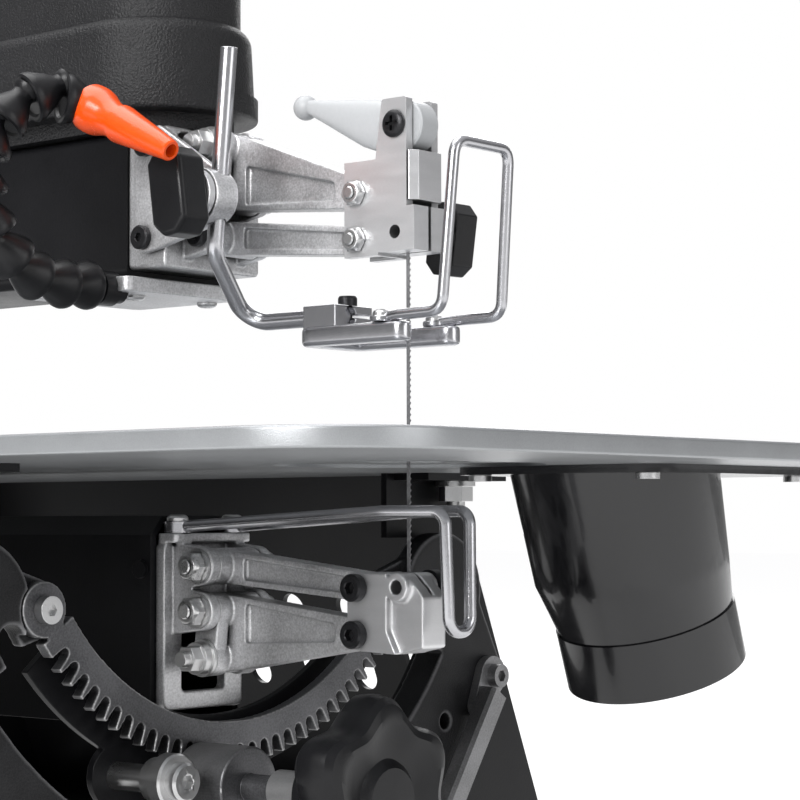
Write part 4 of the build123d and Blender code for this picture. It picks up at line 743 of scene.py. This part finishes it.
def smooth_path(points, steps=12):
    """Points of a smooth curve that passes through the given mm points."""
    points = [Vector(p) for p in points]
    curve = []
    for a, b, c, d in zip([points[0]] + points, points, points[1:], points[2:] + [points[-1]]):
        for n in range(steps):
            t = n / steps
            curve.append(0.5 * ((2 * b) + (c - a) * t + (2 * a - 5 * b + 4 * c - d) * t * t
                                + (3 * b - a - 3 * c + d) * t ** 3))
    return curve + [points[-1]]


def add_hose():
    """Blower hose: ball-and-cup segments along a loop, mouths towards the arm."""
    curve = smooth_path(HOSE_PATH)
    bm = bmesh.new()
    travelled, target = 0.0, 0.0
    for here, after in zip(curve, curve[1:]):
        travelled += (after - here).length
        if travelled >= target and target < LAST_SEGMENT:
            lathe(bm, frame_along(here, after - here), SEGMENT_PROFILE)
            target += SEGMENT_PITCH
    lathe(bm, frame_along((-30, 120, 62.5), LEFT),
          [(0, 0), (0, 5.5), (4, 5.5), (4.5, 6.8), (12, 6.8), (12.5, 5.6), (17, 5.2), (17, 0)])
    finish_piece(bm, "hose_segments", "arm", "moulded", ["blower_hose"])


def add_nozzle():
    """Orange nozzle with a cup over the hose's ball, a waist, a collar and a tapered spout."""
    base, tip = (-66, 97.4, 125.7), (-66, 55, 105)
    direction = Vector(tip) - Vector(base)
    length = direction.length
    bore_depth = length - 12
    bm = bmesh.new()
    lathe(bm, frame_along(base, direction),
          [(5, 0), (0.6, 7.6), (0, 8.4), (0.5, 9.1), (4, 9.2), (7, 8.6), (10.5, 7.2), (14, 6.5), (17, 6.4),
           (17.8, 7.1), (19, 7.2), (26, 6.4), (38, 5.0), (length - 0.6, 3.9), (length, 3.4),
           (length, 2.5), (bore_depth, 2.3), (bore_depth, 0)], 56)
    finish_piece(bm, "nozzle_body", "nozzle", "orange", ["blower_nozzle"])


KNOB_RADIUS, KNOB_LOBES, LOBE_HEIGHT, LOBE_FADE = 33.6, 6, 3.4, 20
BOSS_LENGTH, BOSS_RADIUS = 15, 15.5


def knob_outline(inset):
    """Lobed outline at a distance in from the rim, rounder towards the centre."""
    points = []
    for angle in angles(144):
        radius = KNOB_RADIUS - inset
        radius += LOBE_HEIGHT * cos(KNOB_LOBES * angle) * max(0, 1 - inset / LOBE_FADE)
        points.append((radius * cos(angle + pi / 6), radius * sin(angle + pi / 6)))
    return points


def add_tilt_knob():
    """Six-lobed knob with soft flutes, a dished face and a centre boss."""
    low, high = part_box("tilt_knob")
    centre = (low + high) / 2
    depth = (high.y - low.y) * 1000
    place = Matrix.Translation((centre.x, low.y, centre.z)) @ Matrix.Rotation(radians(-90), 4, "X")
    back = depth - BOSS_LENGTH
    # Distance behind the front face, and inset from the rim.
    profile = ((back + 1, 30), (back + 1, 6), (back, 3), (back - 3, 0.6), (back - 8, 0),
               (8, 0), (3.5, 0.8), (1.2, 2.8), (0.2, 6), (0.8, 9), (2.6, 14), (3, 19),
               (1.8, 20.6), (0, 22), (-0.1, 28))
    bm = bmesh.new()
    rings = []
    for along, inset in profile:
        rings.append([bm.verts.new(place @ (Vector((x, -z, along)) / 1000))
                      for x, z in knob_outline(inset)])
    skin_over(bm, rings)
    lathe(bm, place, [(back + 1, 0), (back + 1, BOSS_RADIUS), (depth, BOSS_RADIUS), (depth, 0)], 48)
    finish_piece(bm, "tilt_handwheel", "tilt_adjuster", "moulded", ["tilt_knob"])


TOOTH_PITCH, TOOTH_DEPTH, GULLET_LENGTH, TOOTH_TIP = 2.1, 0.55, 0.7, 1.5
BLADE_HALF_THICKNESS = 0.22


def add_blade():
    """Thin pinless blade with raked teeth on its front edge."""
    low, high = [corner * 1000 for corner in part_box("blade")]
    middle = (low.x + high.x) / 2
    left, right = middle - BLADE_HALF_THICKNESS, middle + BLADE_HALF_THICKNESS
    root = low.y + TOOTH_DEPTH
    z = low.z
    edge = []
    while z + TOOTH_PITCH < high.z:
        edge += [(root, z), (root, z + GULLET_LENGTH), (low.y, z + TOOTH_TIP)]
        z += TOOTH_PITCH
    edge += [(root, z), (root, high.z)]
    bm = bmesh.new()
    rings = []
    for front, height in edge:
        corners = ((left, front), (right, front), (right, high.y), (left, high.y))
        rings.append([bm.verts.new(Vector((x, y, height)) / 1000) for x, y in corners])
    skin_over(bm, rings)
    finish_piece(bm, "blade_teeth", body_of_node["blade"], "blade_steel", ["blade"])


DIAL_X, DIAL_Y, HOUSING_TOP, TICK_RADIUS = 12, 185, 187.0, 17
TICK_SIZE_M = (0.0007, 0.0022, 0.0005)


def add_dial_marks():
    """Plain raised ticks round the speed dial."""
    bm = bmesh.new()
    for degrees in range(-150, 151, 30):
        angle = radians(degrees)
        middle = (DIAL_X + TICK_RADIUS * sin(angle), DIAL_Y + TICK_RADIUS * cos(angle), HOUSING_TOP)
        turn = Matrix.Translation(at(*middle)) @ Matrix.Rotation(-angle, 4, "Z")
        bmesh.ops.create_cube(bm, size=1, matrix=turn @ Matrix.Diagonal((*TICK_SIZE_M, 1)))
    finish_piece(bm, "speed_ticks", "arm", "nylon")


add_camera()
add_studio()
dress_cad_nodes()
add_hose()
add_nozzle()
add_tilt_knob()
add_blade()
add_dial_marks()
add_upper_holder_fasteners()
add_lower_holder_fasteners()
add_head_fasteners()
add_arm_fasteners()
add_foot_fork()
add_foot_clamp_block()
add_guard_wire()
add_foot_screws()
add_cam_lever()
